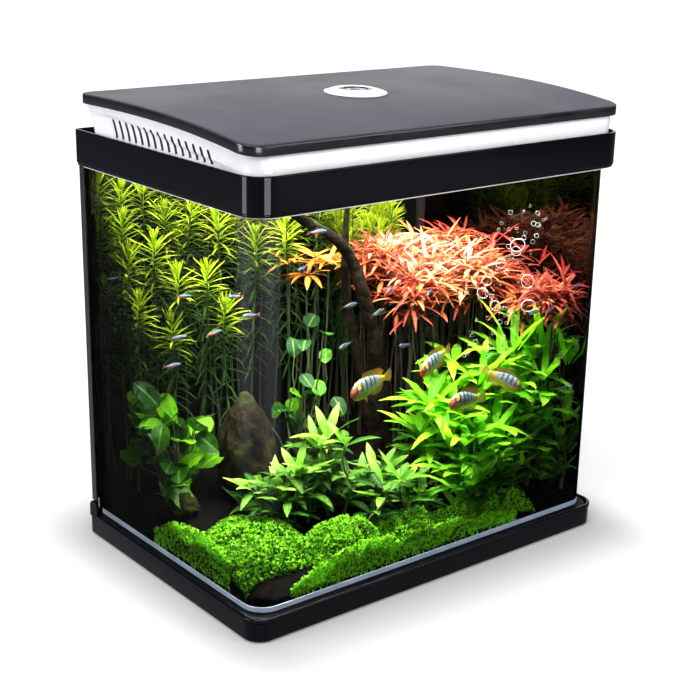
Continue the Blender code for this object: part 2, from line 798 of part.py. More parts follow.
# Filter and pump ------------------------------------------------------------------------------------
def make_filter():
    smoke = paint("tray_black", (0.02, 0.02, 0.022), 0.45)
    flange_low = LEDGE_TOP + GAP
    flange_high = flange_low + 0.0020

    def outline(half_x, grow):
        return rounded(half_x, TRAY_FRONT - grow, TRAY_BACK + grow, 0.004, 0.004, 2)

    trough = outline(TRAY_HALF_TROUGH, 0.0)
    inner = outline(TRAY_HALF_TROUGH - TRAY_WALL, -TRAY_WALL)
    flange = outline(TRAY_HALF_FLANGE, 0.0008)
    tray = loft(
        [
            at_height(trough, TRAY_BOTTOM),
            at_height(trough, flange_low),
            at_height(flange, flange_low),
            at_height(flange, flange_high),
            at_height(inner, flange_high),
            at_height(inner, TRAY_BOTTOM + TRAY_WALL),
        ]
    )
    part("filter_tray", tray, smoke)

    foam = paint("sponge_blue", (0.08, 0.18, 0.30), 0.95)
    ceramic = paint("media_white", (0.75, 0.72, 0.66), 0.9)
    media_top = flange_low - 0.0060
    margin = TRAY_WALL + 0.0018
    low = TRAY_BOTTOM + TRAY_WALL + GAP
    part(
        "filter_sponge",
        block((-0.020, TRAY_FRONT + margin, low), (TRAY_HALF_TROUGH - margin, TRAY_BACK - margin, media_top)),
        foam,
    )
    part(
        "filter_media",
        block((margin - TRAY_HALF_TROUGH, TRAY_FRONT + margin, low), (-0.022, TRAY_BACK - margin, media_top)),
        ceramic,
    )
    lid = block(
        (-TRAY_HALF_TROUGH + margin, TRAY_FRONT + margin, media_top + 0.0010),
        (TRAY_HALF_TROUGH - margin, TRAY_BACK - margin, media_top + 0.0030),
    )
    spreader = part("drip_plate", lid, smoke, smooth=False)
    holes = []
    for row in range(2):
        for column in range(7):
            x = -0.186 + column * 0.062
            y = (TRAY_FRONT + TRAY_BACK) / 2 + (row - 0.5) * 0.034
            peg = turned(((0.0035, media_top - 0.001), (0.0035, media_top + 0.006)), 8)
            holes.append(shifted(peg, (x, y, 0.0)))
    cut(spreader, joined(holes), "drip_holes")


def make_pump(rotor, knob):
    black = paint("pump_black", (0.018, 0.018, 0.02), 0.5)

    def outline(inset):
        half = PUMP_HALF_WIDTH - inset
        depth = PUMP_HALF_DEPTH - inset
        points = rounded(half, -depth, depth, PUMP_CORNER, PUMP_CORNER, 3)
        return [(PUMP_X + x, PUMP_Y + y) for x, y in points]

    def chamber(radius, z):
        return [Vector((PUMP_X + x, PUMP_Y + y, z)) for x, y in circle(radius, 16)]

    motor = loft(
        [
            at_height(outline(0.0), PUMP_JOIN + GAP),
            at_height(outline(0.0), PUMP_TOP - 0.003),
            at_height(outline(0.003), PUMP_TOP),
        ]
    )
    body = part("pump_body", motor, black)
    hollow = loft([chamber(0.0130, PUMP_JOIN - 0.002), chamber(0.0130, PUMP_JOIN + 0.024)])
    cut(body, hollow, "rotor_chamber")
    spout = loft(
        [
            [Vector((PUMP_X + x, PIPE_Y + y, z)) for x, y in circle(PIPE_BORE, 12)]
            for z in (PUMP_JOIN + 0.020, PUMP_TOP + 0.002)
        ]
    )
    cut(body, spout, "pump_outlet")

    strainer = loft(
        [
            at_height(outline(0.0), PUMP_JOIN - GAP),
            at_height(outline(0.0), PUMP_INTAKE_BOTTOM + 0.002),
            at_height(outline(0.002), PUMP_INTAKE_BOTTOM),
        ]
    )
    cover = part("intake_cover", strainer, black)
    well = loft([chamber(0.0120, PUMP_INTAKE_BOTTOM + 0.003), chamber(0.0120, PUMP_JOIN + 0.002)])
    cut(cover, well, "intake_well")
    slots = []
    for count in range(5):
        z = PUMP_INTAKE_BOTTOM + 0.0065 + count * 0.0048
        slots.append(
            block((PUMP_X - 0.010, PUMP_Y - PUMP_HALF_DEPTH - 0.002, z), (PUMP_X + 0.010, PUMP_Y, z + 0.0022))
        )
    cut(cover, joined(slots), "intake_slots")

    white = paint("impeller_white", (0.8, 0.8, 0.78), 0.4)
    part("impeller", impeller_shape(), white, parent=rotor)

    grip = paint("knob_grey", (0.12, 0.12, 0.13), 0.5)
    knob_shape = turned(((0.0070, 0.0003), (0.0070, 0.0040), (0.0062, 0.0048)), 16, "Y")
    bmesh.ops.rotate(knob_shape, matrix=Matrix.Rotation(math.pi, 3, "X"), verts=knob_shape.verts)
    dial = part("flow_knob", knob_shape, grip, parent=knob)
    cut(dial, block((-0.0010, -0.0060, -0.0052), (0.0010, -0.0038, 0.0052)), "knob_mark", knob)

    pipe = paint("pipe_black", (0.02, 0.02, 0.022), 0.35)
    path = [Vector((PUMP_X, PIPE_Y, PUMP_TOP + GAP)), Vector((PUMP_X, PIPE_Y, 0.448))]
    bend = 0.012
    for step in range(1, 5):
        angle = math.radians(90 * step / 4)
        path.append(
            Vector((PUMP_X, PIPE_Y - bend + bend * math.cos(angle), 0.448 + bend * math.sin(angle)))
        )
    path.append(Vector((PUMP_X, PIPE_Y - bend - 0.014, 0.448 + bend)))
    part("riser_pipe", swept(path, [PIPE_RADIUS] * len(path), 10, PIPE_BORE), pipe)

    rubber = paint("suction_rubber", (0.35, 0.37, 0.37), 0.4)
    pump_back = PUMP_Y + PUMP_HALF_DEPTH
    wall = GLASS_BACK - GLASS
    profile = (
        (0.0050, pump_back + GAP),
        (0.0050, pump_back + 0.0040),
        (0.0090, wall - 0.0028),
        (0.0120, wall - 0.0010),
        (0.0120, wall - GAP),
    )
    for name, z in (("suction_cup_lower", 0.146), ("suction_cup_upper", 0.176)):
        part(name, shifted(turned(profile, 16, "Y"), (PUMP_X, 0.0, z)), rubber)


def impeller_shape():
    """Rotor: a magnet core and four vanes below it, as one turned outline whose lower part is a cross."""
    count = 16
    loops = []
    for z in (-0.0110, -0.0030):
        loop = []
        for i in range(count):
            radius = 0.0105 if i % 4 == 0 else 0.0028
            angle = math.tau * i / count
            loop.append(Vector((radius * math.cos(angle), radius * math.sin(angle), z)))
        loops.append(loop)
    for z in (-0.0028, 0.0110):
        loops.append([Vector((x, y, z)) for x, y in circle(0.0075, count)])
    return loft(loops)


# Aquascape ------------------------------------------------------------------------------------------
def make_substrate():
    soil = paint("soil_dark", (0.035, 0.028, 0.022), 0.95)
    outline = crossed(rounded(BED_HALF_WIDTH, BED_FRONT, BED_BACK, 0.024, 0.002), 2)
    underside = at_height(outline, PANE_BOTTOM + GLASS + GAP)
    part("substrate_bed", loft([underside, at_height(outline, bed)]), soil)


def make_driftwood():
    wood = paint("driftwood_brown", (0.10, 0.06, 0.035), 0.8)
    knots = [
        (Vector((-0.078, 0.022, 0.380)), 0.0045),
        (Vector((-0.045, 0.020, 0.350)), 0.0060),
        (Vector((-0.012, 0.016, 0.312)), 0.0068),
        (Vector((0.016, 0.012, 0.262)), 0.0072),
        (Vector((0.033, 0.011, 0.205)), 0.0082),
        (Vector((0.044, 0.012, 0.150)), 0.0100),
        (Vector((0.050, 0.014, 0.105)), 0.0125),
        (Vector((0.052, 0.015, 0.0725)), 0.0150),
    ]
    part("driftwood", swept([p for p, r in knots], [r for p, r in knots], 10), wood)


def clump(name, look, low, high, shoulders, sides=12):
    """A plant mass or stone that stands on the bed. Shoulders are (height share, width share)."""
    middle = Vector(((low[0] + high[0]) / 2, (low[1] + high[1]) / 2))
    half = Vector(((high[0] - low[0]) / 2, (high[1] - low[1]) / 2))
    foot = bed(high[1]) + 0.0006
    loops = []
    for share, width in shoulders:
        loop = []
        for x, y in circle(1.0, sides, math.pi / sides):
            square = 1 / max(abs(x), abs(y)) ** 0.6
            px = middle.x + half.x * width * min(max(x * square, -1), 1)
            py = middle.y + half.y * width * min(max(y * square, -1), 1)
            base = bed(py) + 0.0006 if share == 0 else foot + (high[2] - foot) * share
            loop.append(Vector((px, py, base)))
        loops.append(loop)
    part(name, loft(loops), look)


def make_planting():
    bushy = ((0.0, 0.82), (0.30, 1.0), (0.70, 0.96), (0.92, 0.70), (1.0, 0.30))
    mound = ((0.0, 0.96), (0.45, 1.0), (0.80, 0.72), (1.0, 0.30))
    stone = ((0.0, 0.92), (0.35, 1.0), (0.75, 0.74), (1.0, 0.34))
    canopy = ((0.0, 0.30), (0.50, 0.36), (0.66, 0.96), (0.90, 1.0), (1.0, 0.55))

    moss = paint("moss_green", (0.13, 0.30, 0.04), 0.8)
    stems = paint("stem_plant_green", (0.35, 0.42, 0.06), 0.7)
    broad = paint("broad_leaf_green", (0.07, 0.24, 0.05), 0.5)
    lance = paint("lance_leaf_green", (0.16, 0.36, 0.08), 0.5)
    sword = paint("sword_leaf_green", (0.22, 0.48, 0.06), 0.5)
    red = paint("red_leaf", (0.55, 0.14, 0.07), 0.6)
    rock = paint("rock_brown", (0.16, 0.13, 0.08), 0.9)

    clump("stem_plants_left", stems, (-0.222, 0.075, 0), (-0.090, 0.140, 0.402), bushy)
    clump("stem_plants_centre", stems, (-0.085, 0.075, 0), (0.060, 0.140, 0.362), bushy)
    clump("stem_plants_right", stems, (0.068, 0.0765, 0), (0.182, 0.140, 0.348), bushy)
    clump("broad_leaf_plant", broad, (-0.224, 0.040, 0), (-0.168, 0.0745, 0.170), bushy)
    clump("round_leaf_plant", broad, (-0.075, 0.005, 0), (-0.006, 0.060, 0.245), bushy)
    clump("lance_plant_centre", lance, (-0.150, -0.072, 0), (-0.040, -0.026, 0.165), bushy)
    clump("lance_plant_front", lance, (-0.046, -0.110, 0), (0.036, -0.060, 0.112), bushy)
    clump("sword_plants_right", sword, (0.046, -0.138, 0), (0.224, -0.042, 0.262), bushy)
    clump("red_plants", red, (0.072, -0.030, 0), (0.224, 0.072, 0.332), canopy)
    clump("moss_front_left", moss, (-0.224, -0.146, 0), (-0.056, -0.076, 0.084), mound)
    clump("moss_front_centre", moss, (-0.048, -0.146, 0), (0.040, -0.116, 0.070), mound)
    clump("rock_large", rock, (-0.164, -0.014, 0), (-0.088, 0.050, 0.186), stone, 10)
    clump("rock_small", rock, (-0.224, 0.001, 0), (-0.190, 0.039, 0.084), stone, 8)


def main():
    for item in list(bpy.data.objects):
        bpy.data.objects.remove(item, do_unlink=True)
    make_base()
    make_glass()
    make_top_frame()
    hinge = pivot("hood_hinge_axis", (0.0, HINGE_Y, HINGE_Z))
    make_hood(hinge)
    make_button(pivot("button_axis", (0.0, 0.0, arch(0.0))))
    make_filter()
    rotor = pivot("rotor_axis", (PUMP_X, PUMP_Y, PUMP_JOIN + 0.0115))
    knob = pivot("knob_axis", (PUMP_X, PUMP_Y - PUMP_HALF_DEPTH, 0.172))
    make_pump(rotor, knob)
    make_substrate()
    make_driftwood()
    make_planting()
    bpy.context.view_layer.update()


main()
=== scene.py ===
"""Desktop aquarium with a lamp hood: the looks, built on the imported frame.

Metres, +Z up, the same frame as the CAD. The front faces -Y.
"""

import json
import math

import bmesh
import bpy
import numpy as np
from mathutils import Matrix, Vector, interpolate, noise
from mathutils.bvhtree import BVHTree

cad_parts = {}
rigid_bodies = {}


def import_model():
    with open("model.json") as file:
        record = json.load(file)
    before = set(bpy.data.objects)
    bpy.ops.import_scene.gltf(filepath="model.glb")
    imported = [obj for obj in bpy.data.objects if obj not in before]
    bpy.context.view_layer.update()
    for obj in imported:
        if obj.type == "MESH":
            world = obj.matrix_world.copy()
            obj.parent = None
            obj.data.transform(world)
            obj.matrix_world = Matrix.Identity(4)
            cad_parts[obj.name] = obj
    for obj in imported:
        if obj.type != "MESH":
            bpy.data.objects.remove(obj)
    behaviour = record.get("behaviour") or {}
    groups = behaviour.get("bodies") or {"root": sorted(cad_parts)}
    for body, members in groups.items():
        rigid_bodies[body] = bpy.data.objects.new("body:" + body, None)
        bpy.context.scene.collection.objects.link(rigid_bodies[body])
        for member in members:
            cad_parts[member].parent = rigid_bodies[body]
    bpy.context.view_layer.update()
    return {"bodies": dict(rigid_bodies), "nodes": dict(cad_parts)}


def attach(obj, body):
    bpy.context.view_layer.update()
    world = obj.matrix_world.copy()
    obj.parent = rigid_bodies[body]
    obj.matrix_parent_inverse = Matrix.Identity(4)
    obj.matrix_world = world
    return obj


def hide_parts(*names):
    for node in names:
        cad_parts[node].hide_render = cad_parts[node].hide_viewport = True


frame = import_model()

# Driving dimensions -------------------------------------------------------------------------------
HALF_WIDTH = 0.240
HALF_DEPTH = 0.160

BASE_BOTTOM = 0.0015
BASE_TOP = 0.0266
BASE_FLOOR = 0.0045
BASE_RADII = (0.020, 0.004)
LIP_BOTTOM = 0.0220
TAB_WIDTH = 0.0160
TAB_HEIGHT = 0.0150

GLASS = 0.005
GLASS_HALF = 0.2360
GLASS_FRONT = -0.1560
GLASS_BACK = 0.1540
GLASS_RADIUS = 0.029
GLASS_BOTTOM = 0.0248
GLASS_TOP = 0.4440

HAZE = 0.010
WATER_HALF = 0.2302
WATER_FRONT = -0.1503
WATER_BACK = 0.1486
WATER_RADIUS = 0.0230
WATER_BOTTOM = 0.0325
WATER_TOP = 0.4175
CLEAR = 0.0020

SEAL_BOTTOM = 0.4149
FRAME_BOTTOM = 0.4163
FRAME_TOP = 0.4534
FRAME_RADII = (0.026, 0.005)
LEDGE_TOP = 0.4468

PANEL_HALF = 0.2419
PANEL_FRONT = -0.1535
PANEL_BACK = 0.1477
PANEL_RADII = (0.0205, 0.0170)
PANEL_EDGE = 0.0100
PANEL_SKIN = 0.0030
PANEL_SKIRT = 0.0045
ARCH_FRONT = 0.4796
ARCH_BACK = 0.4914
ARCH_RISE = 0.0064
ARCH_SKEW = 0.0058

HOOD_BOTTOM = 0.4471
HOOD_BACK = 0.1390
HOOD_WALL = 0.0025
HOOD_HALF = 0.2335
GLAND_X = 0.100
GLAND_Z = 0.4650
GLAND_RADIUS = 0.0050
VENTS = 15
VENT_PITCH = 0.0121
VENT_MIDDLE = 0.0020
VENT_WIDTH = 0.0042
VENT_LEAN = math.radians(13)
VENT_DROP = 0.0205

SWITCH_RADIUS = 0.033
SWITCH_RISE = 0.0045
WELL_RADIUS = 0.0176
CUP_RADIUS = 0.0188
CUP_BOTTOM = 0.4795
BUTTON_RADIUS = 0.0170

BED_HALF = 0.2300
BED_FRONT = -0.1500
BED_BACK = 0.1480
BED_LOW = 0.046
BED_HIGH = 0.086
BED_BOTTOM = 0.0323
BED_RADIUS = 0.022
SLUMP = 0.0115
SLUMP_REACH = 0.024

CAMERA_AZIMUTH = math.radians(-39.0955)
CAMERA_ELEVATION = math.radians(17.9777)
CAMERA_ROLL = math.radians(1.1558)
CAMERA_LENS = 72.43
CAMERA_PLACE = (-0.92315, -1.13558, 0.68743)
GLASS_TINT = (0.985, 0.995, 0.993)
PANE_SHADE = (0.20, 0.21, 0.21)

UP = np.array([0.0, 0.0, 1.0])
random = np.random.default_rng(7)


# Camera, floor and light --------------------------------------------------------------------------
def make_camera():
    """A long lens that looks down on the front left corner."""
    level = math.cos(CAMERA_ELEVATION)
    ahead = Vector(
        (-math.sin(CAMERA_AZIMUTH) * level, math.cos(CAMERA_AZIMUTH) * level, -math.sin(CAMERA_ELEVATION))
    )
    across = ahead.cross(Vector((0, 0, 1))).normalized()
    top = across.cross(ahead)
    right = across * math.cos(CAMERA_ROLL) + top * math.sin(CAMERA_ROLL)
    above = top * math.cos(CAMERA_ROLL) - across * math.sin(CAMERA_ROLL)
    data = bpy.data.cameras.new("camera")
    data.lens = CAMERA_LENS
    data.sensor_width = 36.0
    camera = linked("camera", data)
    turn = Matrix((right, above, -ahead)).transposed().to_4x4()
    camera.matrix_world = Matrix.Translation(CAMERA_PLACE) @ turn
    bpy.context.scene.camera = camera


def area_light(name, place, target, size, power, colour=(1.0, 1.0, 1.0)):
    data = bpy.data.lights.new(name, "AREA")
    data.shape = "RECTANGLE"
    data.size, data.size_y = size
    data.energy = power
    data.color = colour
    light = linked(name, data)
    light.location = place
    light.rotation_euler = (Vector(target) - Vector(place)).to_track_quat("-Z", "Y").to_euler()
    light.visible_camera = False
    return light


def make_studio():
    scene = bpy.context.scene
    scene.view_settings.view_transform = "Standard"
    scene.world = bpy.data.worlds.new("studio")
    scene.world.use_nodes = True
    web = Web(scene.world.node_tree)
    background = web.add("ShaderNodeBackground")
    seen = web.add("ShaderNodeLightPath").outputs["Is Camera Ray"]
    web.join(web.mix(seen, (0.24, 0.24, 0.27), (1.0, 1.0, 1.0)), background.inputs["Color"])
    output = web.add("ShaderNodeOutputWorld")
    web.join(background.outputs[0], output.inputs["Surface"])

    area_light("key_light", (-1.2, -1.0, 2.4), (0.0, 0.0, 0.3), (1.8, 1.8), 66.0)
    area_light("rear_light", (1.7, 2.1, 1.25), (0.0, 0.0, 0.45), (2.6, 0.9), 15.0)
    area_light("front_light", (1.2, -2.2, 1.0), (0.0, 0.0, 0.3), (1.4, 1.4), 34.0)
    area_light("left_light", (-2.3, 0.5, 0.9), (0.0, 0.0, 0.4), (1.2, 1.2), 36.0)
    for name, place, size, power in (
        ("left_panel", (-1.45, 0.16, 0.30), (0.42, 0.60), 13.0),
        ("front_panel", (-0.46, -1.50, 0.30), (0.60, 0.60), 22.0),
    ):
        panel = area_light(name, place, (-0.22, -0.14, 0.30), size, power, (0.86, 0.84, 1.0))
        panel.visible_diffuse = False

    lamp = area_light("lamp_strip", (0.0, -0.065, 0.4635), (0.0, -0.065, 0.0), (0.42, 0.034), 0.7)
    lamp.parent = frame["bodies"]["hood"]
    spread = area_light(
        "lamp_spread", (0.0, -0.01, 0.4158), (0.0, -0.01, 0.0), (0.455, 0.285), 6.2, (1.0, 0.99, 0.90)
    )
    spread.data.spread = math.radians(115)

    floor = new_object("floor", [(-8, -8, 0), (8, -8, 0), (8, 8, 0), (-8, 8, 0)], [(0, 1, 2, 3)])
    look, web = new_look("floor_white_painted_shadow")
    paper = web.add("ShaderNodeBsdfDiffuse")
    grain = web.noise(3.0, 4.0)
    web.join(web.mix(grain, (0.40, 0.40, 0.41), (0.42, 0.42, 0.42)), paper.inputs["Color"])
    painted_glow = web.add("ShaderNodeEmission")
    # From here the floor's emission is dimmed near the tank's footprint: a painted contact shadow on a floor
    # that is otherwise evenly white.
    x, y, _ = web.axes(web.where())
    out_x = web.sum("MAXIMUM", web.sum("SUBTRACT", web.sum("ABSOLUTE", x), HALF_WIDTH - 0.02), 0.0)
    out_y = web.sum("MAXIMUM", web.sum("SUBTRACT", web.sum("ABSOLUTE", y), HALF_DEPTH - 0.02), 0.0)
    far = web.sum(
        "POWER",
        web.sum(
            "ADD", web.sum("MULTIPLY", out_x, out_x),
            web.sum("MULTIPLY", web.sum("MULTIPLY", out_y, out_y), 0.5)
        ),
        0.5
    )
    # bright is the painted shadow: low at the footprint, rising to white further out.
    bright = web.sum("ADD", web.ramp(far, 0.01, 0.095, 0.13, 0.66), web.ramp(far, 0.1, 0.6, 0.0, 0.34))
    seen = web.add("ShaderNodeLightPath").outputs["Is Camera Ray"]
    web.join(web.sum("MULTIPLY", seen, bright), painted_glow.inputs["Strength"])
    both = web.add("ShaderNodeAddShader")
    web.join(paper.outputs[0], both.inputs[0])
    web.join(painted_glow.outputs[0], both.inputs[1])
    web.surface(both.outputs[0])
    floor.data.materials.append(look)


# Node materials -----------------------------------------------------------------------------------
class Web:
    """A small wrapper round a node tree."""

    def __init__(self, tree):
        self.tree = tree
        tree.nodes.clear()

    def add(self, kind):
        return self.tree.nodes.new(kind)

    def join(self, source, target):
        self.tree.links.new(source, target)

    def put(self, value, target):
        """Joins a socket, or sets a plain value."""
        if isinstance(value, bpy.types.NodeSocket):
            self.join(value, target)
        elif isinstance(value, tuple) and len(value) == 3 and target.type == "RGBA":
            target.default_value = (*value, 1.0)
        else:
            target.default_value = value

    def mix(self, factor, low, high):
        node = self.add("ShaderNodeMix")
        node.data_type = "RGBA"
        self.put(factor, node.inputs[0])
        self.put(low, node.inputs[6])
        self.put(high, node.inputs[7])
        return node.outputs[2]

    def sum(self, kind, *values):
        """Arithmetic on one to three sockets or numbers."""
        node = self.add("ShaderNodeMath")
        node.operation = kind
        for i, value in enumerate(values):
            self.put(value, node.inputs[i])
        return node.outputs[0]

    def lamp_rays(self):
        """1 for the rays that carry lamp light, 0 for what is seen or mirrored."""
        path = self.add("ShaderNodeLightPath").outputs
        return self.sum("MAXIMUM", path["Is Shadow Ray"], path["Is Diffuse Ray"])

    def blend(self, share, first, second):
        """Closes the material with two shaders: share is how much of the second one shows."""
        both = self.add("ShaderNodeMixShader")
        self.put(share, both.inputs[0])
        self.join(first, both.inputs[1])
        self.join(second, both.inputs[2])
        self.surface(both.outputs[0])

    def ramp(self, value, low, high, out_low=0.0, out_high=1.0):
        """Maps a range to another, smoothly and held at both ends."""
        node = self.add("ShaderNodeMapRange")
        node.interpolation_type = "SMOOTHSTEP"
        for i, number in enumerate((value, low, high, out_low, out_high)):
            self.put(number, node.inputs[i])
        return node.outputs[0]

    def where(self):
        return self.add("ShaderNodeTexCoord").outputs["Object"]

    def noise(self, scale, detail=3.0, place=None, roughness=0.55):
        node = self.add("ShaderNodeTexNoise")
        node.inputs["Scale"].default_value = scale
        node.inputs["Detail"].default_value = detail
        node.inputs["Roughness"].default_value = roughness
        self.join(place or self.where(), node.inputs["Vector"])
        return node.outputs["Fac"]

    def cells(self, scale, place=None):
        node = self.add("ShaderNodeTexVoronoi")
        node.inputs["Scale"].default_value = scale
        self.join(place or self.where(), node.inputs["Vector"])
        return node.outputs["Distance"]

    def bump(self, height, strength, distance):
        node = self.add("ShaderNodeBump")
        node.inputs["Strength"].default_value = strength
        node.inputs["Distance"].default_value = distance
        self.join(height, node.inputs["Height"])
        return node.outputs["Normal"]

    def axes(self, vector):
        node = self.add("ShaderNodeSeparateXYZ")
        self.join(vector, node.inputs[0])
        return node.outputs

    def mark(self, name):
        """The three numbers that the mesh code gives each point."""
        node = self.add("ShaderNodeAttribute")
        node.attribute_name = name
        return self.axes(node.outputs["Vector"])

    def shader(self, **values):
        node = self.add("ShaderNodeBsdfPrincipled")
        for name, value in values.items():
            self.put(value, node.inputs[name.replace("_", " ")])
        return node.outputs[0]

    def surface(self, shader):
        output = self.add("ShaderNodeOutputMaterial")
        self.join(shader, output.inputs["Surface"])


def new_look(name):
    look = bpy.data.materials.new(name)
    look.use_nodes = True
    return look, Web(look.node_tree)


def moulded(
    name, colour, other, roughness, grain=900.0, depth=0.15, specular=0.5, metallic=0.0, coat=0.0, wear=0.08
):
    """Moulded plastic, rubber or metal: two close tones, uneven gloss and a fine grain."""
    look, web = new_look(name)
    patch = web.noise(26.0, 4.0)
    fine = web.noise(grain, 2.0)
    rough = web.ramp(patch, 0.3, 0.7, max(roughness - wear, 0.02), min(roughness + wear, 1.0))
    web.surface(
        web.shader(
            Base_Color=web.mix(patch, colour, other),
            Roughness=rough,
            Metallic=metallic,
            Specular_IOR_Level=specular,
            Coat_Weight=coat,
            Coat_Roughness=0.08,
            Normal=web.bump(fine, depth, 0.0002),
        )
    )
    return look


def sheet_look(web, share, gloss, lit, tint):
    """Closes a clear sheet: a mirror mixed with a tint that lamp light passes only in part."""
    clear = web.add("ShaderNodeBsdfTransparent")
    web.join(web.mix(lit, tint, PANE_SHADE), clear.inputs["Color"])
    web.blend(web.sum("MULTIPLY", share, web.sum("SUBTRACT", 1.0, lit)), clear.outputs[0], gloss.outputs[0])


def glass_look(name, mirror, lowest):
    """Clear sheet that mirrors more at a grazing angle."""
    look, web = new_look(name)
    facing = web.add("ShaderNodeLayerWeight").outputs["Facing"]
    gloss = web.add("ShaderNodeBsdfGlossy")
    web.put(web.ramp(web.noise(14.0, 3.0), 0.2, 0.8, 0.01, 0.05), gloss.inputs["Roughness"])
    share = web.sum("MULTIPLY_ADD", web.sum("POWER", facing, 5.0), mirror, lowest)
    sheet_look(web, share, gloss, web.lamp_rays(), GLASS_TINT)
    return look


def haze_look(name):
    """The bent part of the glass: it spreads the lights it mirrors into a soft haze."""
    look, web = new_look(name)
    gloss = web.add("ShaderNodeBsdfGlossy")
    web.put(web.ramp(web.noise(14.0, 3.0), 0.2, 0.8, 0.42, 0.52), gloss.inputs["Roughness"])
    facing = web.add("ShaderNodeLayerWeight").outputs["Facing"]
    high = web.ramp(web.axes(web.where())[2], 0.10, 0.24, 0.08, 1.0)
    share = web.sum("MULTIPLY", web.ramp(facing, 0.0, 1.0, HAZE, HAZE * 1.5), high)
    sheet_look(web, share, gloss, web.lamp_rays(), GLASS_TINT)
    return look


def water_look(name, bending, mirror):
    """Water: what leaves it at a flat angle to the glass is mirrored back in, as in a real tank."""
    look, web = new_look(name)
    fresnel = web.add("ShaderNodeFresnel")
    fresnel.inputs["IOR"].default_value = bending
    web.join(web.bump(web.noise(30.0, 2.0), 0.02, 0.001), fresnel.inputs["Normal"])
    gloss = web.add("ShaderNodeBsdfGlossy")
    gloss.inputs["Color"].default_value = (*mirror, 1.0)
    gloss.inputs["Roughness"].default_value = 0.02
    clear = web.add("ShaderNodeBsdfTransparent")
    web.put((0.985, 0.995, 0.99), clear.inputs["Color"])
    inside = web.add("ShaderNodeNewGeometry").outputs["Backfacing"]
    share = web.sum("MULTIPLY", fresnel.outputs[0], inside)
    share = web.sum("MULTIPLY", share, web.sum("SUBTRACT", 1.0, web.lamp_rays()))
    web.blend(share, clear.outputs[0], gloss.outputs[0])
    return look


def leaf_look(
    name, deep, bright, tip, tip_share=0.4, through=0.3, roughness=0.38, rib=0.25, ribs=0.0, middle=None,
    gloss=0.16, painted_glow=0.0
):
    """A leaf: tint runs from deep to bright leaf by leaf, then towards the tip colour, with a pale midrib."""
    look, web = new_look(name)
    along, across, tint = web.mark("leaf")
    patch = web.noise(160.0, 3.0)
    tone = web.ramp(web.sum("ADD", tint, web.sum("MULTIPLY_ADD", patch, 0.5, -0.25)), 0.0, 1.25)
    if middle is None:
        body = web.mix(tone, deep, bright)
    else:
        body = web.mix(web.ramp(tone, 0.5, 1.0), web.mix(web.ramp(tone, 0.0, 0.5), deep, middle), bright)
    ends = web.sum(
        "MULTIPLY", web.sum("MULTIPLY", web.ramp(along, 0.30, 1.0), tip_share), web.ramp(tone, 0.10, 0.70)
    )
    body = web.mix(ends, body, tip)
    side = web.sum("ABSOLUTE", across)
    spine = web.sum("MULTIPLY", web.ramp(side, 0.16, 0.0), rib)
    body = web.mix(spine, body, tuple(min(1.0, c * 1.25 + 0.10) for c in bright))
    wave = web.sum(
        "SINE", web.sum("MULTIPLY", web.sum("ADD", along, web.sum("MULTIPLY", side, 0.22)), 75.0)
    )
    height = web.sum("ADD", patch, web.sum("MULTIPLY", wave, 0.25 + ribs))
    normal = web.bump(height, 0.35, 0.0006)
    front = web.shader(
        Base_Color=body,
        Roughness=web.ramp(patch, 0.2, 0.8, roughness - 0.08, roughness + 0.12),
        Specular_IOR_Level=gloss,
        # painted_glow is emission: light painted onto the leaf, zero unless a look asks for it.
        Emission_Color=body,
        Emission_Strength=painted_glow,
        Normal=normal,
    )
    thin = web.add("ShaderNodeBsdfTranslucent")
    web.join(
        web.mix(web.sum("MULTIPLY", tone, 0.45), body, tuple(min(1.0, c * 1.3) for c in bright)),
        thin.inputs["Color"]
    )
    web.blend(through, front, thin.outputs[0])
    return look


def bark_look(name, dark, light, green, moss_share):
    """Bark or stone with cracks, and moss where it faces up."""
    look, web = new_look(name)
    place = web.where()
    rough = web.noise(38.0, 8.0, place, 0.65)
    pits = web.cells(150.0, place)
    fine = web.noise(420.0, 3.0, place)
    body = web.mix(web.ramp(rough, 0.35, 0.68), dark, light)
    # Darker in the pits, which the bump also sinks: painted shade in the recesses.
    body = web.mix(web.ramp(pits, 0.0, 0.35, 0.7, 0.0), body, tuple(c * 0.35 for c in dark))
    up = web.axes(web.add("ShaderNodeNewGeometry").outputs["Normal"])[2]
    cover = web.sum(
        "ADD", web.sum("MULTIPLY", up, 0.5), web.sum("MULTIPLY", web.noise(60.0, 5.0, place), 1.2)
    )
    grown = web.ramp(cover, 1.05 - moss_share, 1.25 - moss_share)
    tuft = web.mix(web.cells(420.0, place), green, tuple(c * 0.25 for c in green))
    body = web.mix(grown, body, tuft)
    height = web.sum("ADD", rough, web.sum("MULTIPLY", web.sum("ADD", pits, fine), 0.5))
    web.surface(
        web.shader(
            Base_Color=body,
            Roughness=web.ramp(fine, 0.3, 0.7, 0.55, 0.9),
            Specular_IOR_Level=0.04,
            Normal=web.bump(height, 0.9, 0.0022),
        )
    )
    return look


# Mesh helpers -------------------------------------------------------------------------------------
def linked(name, data):
    made = bpy.data.objects.new(name, data)
    bpy.context.scene.collection.objects.link(made)
    return made


def new_object(name, points, faces):
    mesh = bpy.data.meshes.new(name)
    mesh.from_pydata(points, [], faces)
    return linked(name, mesh)


def settle(made, looks, body, nodes=(), sharp=35.0):
    """Gives a piece its materials, its body and the CAD nodes it stands for."""
    for look in looks:
        made.data.materials.append(look)
    made.data.shade_smooth()
    if sharp is not None:
        made.data.set_sharp_from_angle(angle=math.radians(sharp))
    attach(made, body)
    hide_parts(*nodes)
    return made


def from_shape(name, shape):
    mesh = bpy.data.meshes.new(name)
    bmesh.ops.recalc_face_normals(shape, faces=shape.faces)
    shape.to_mesh(mesh)
    shape.free()
    return linked(name, mesh)


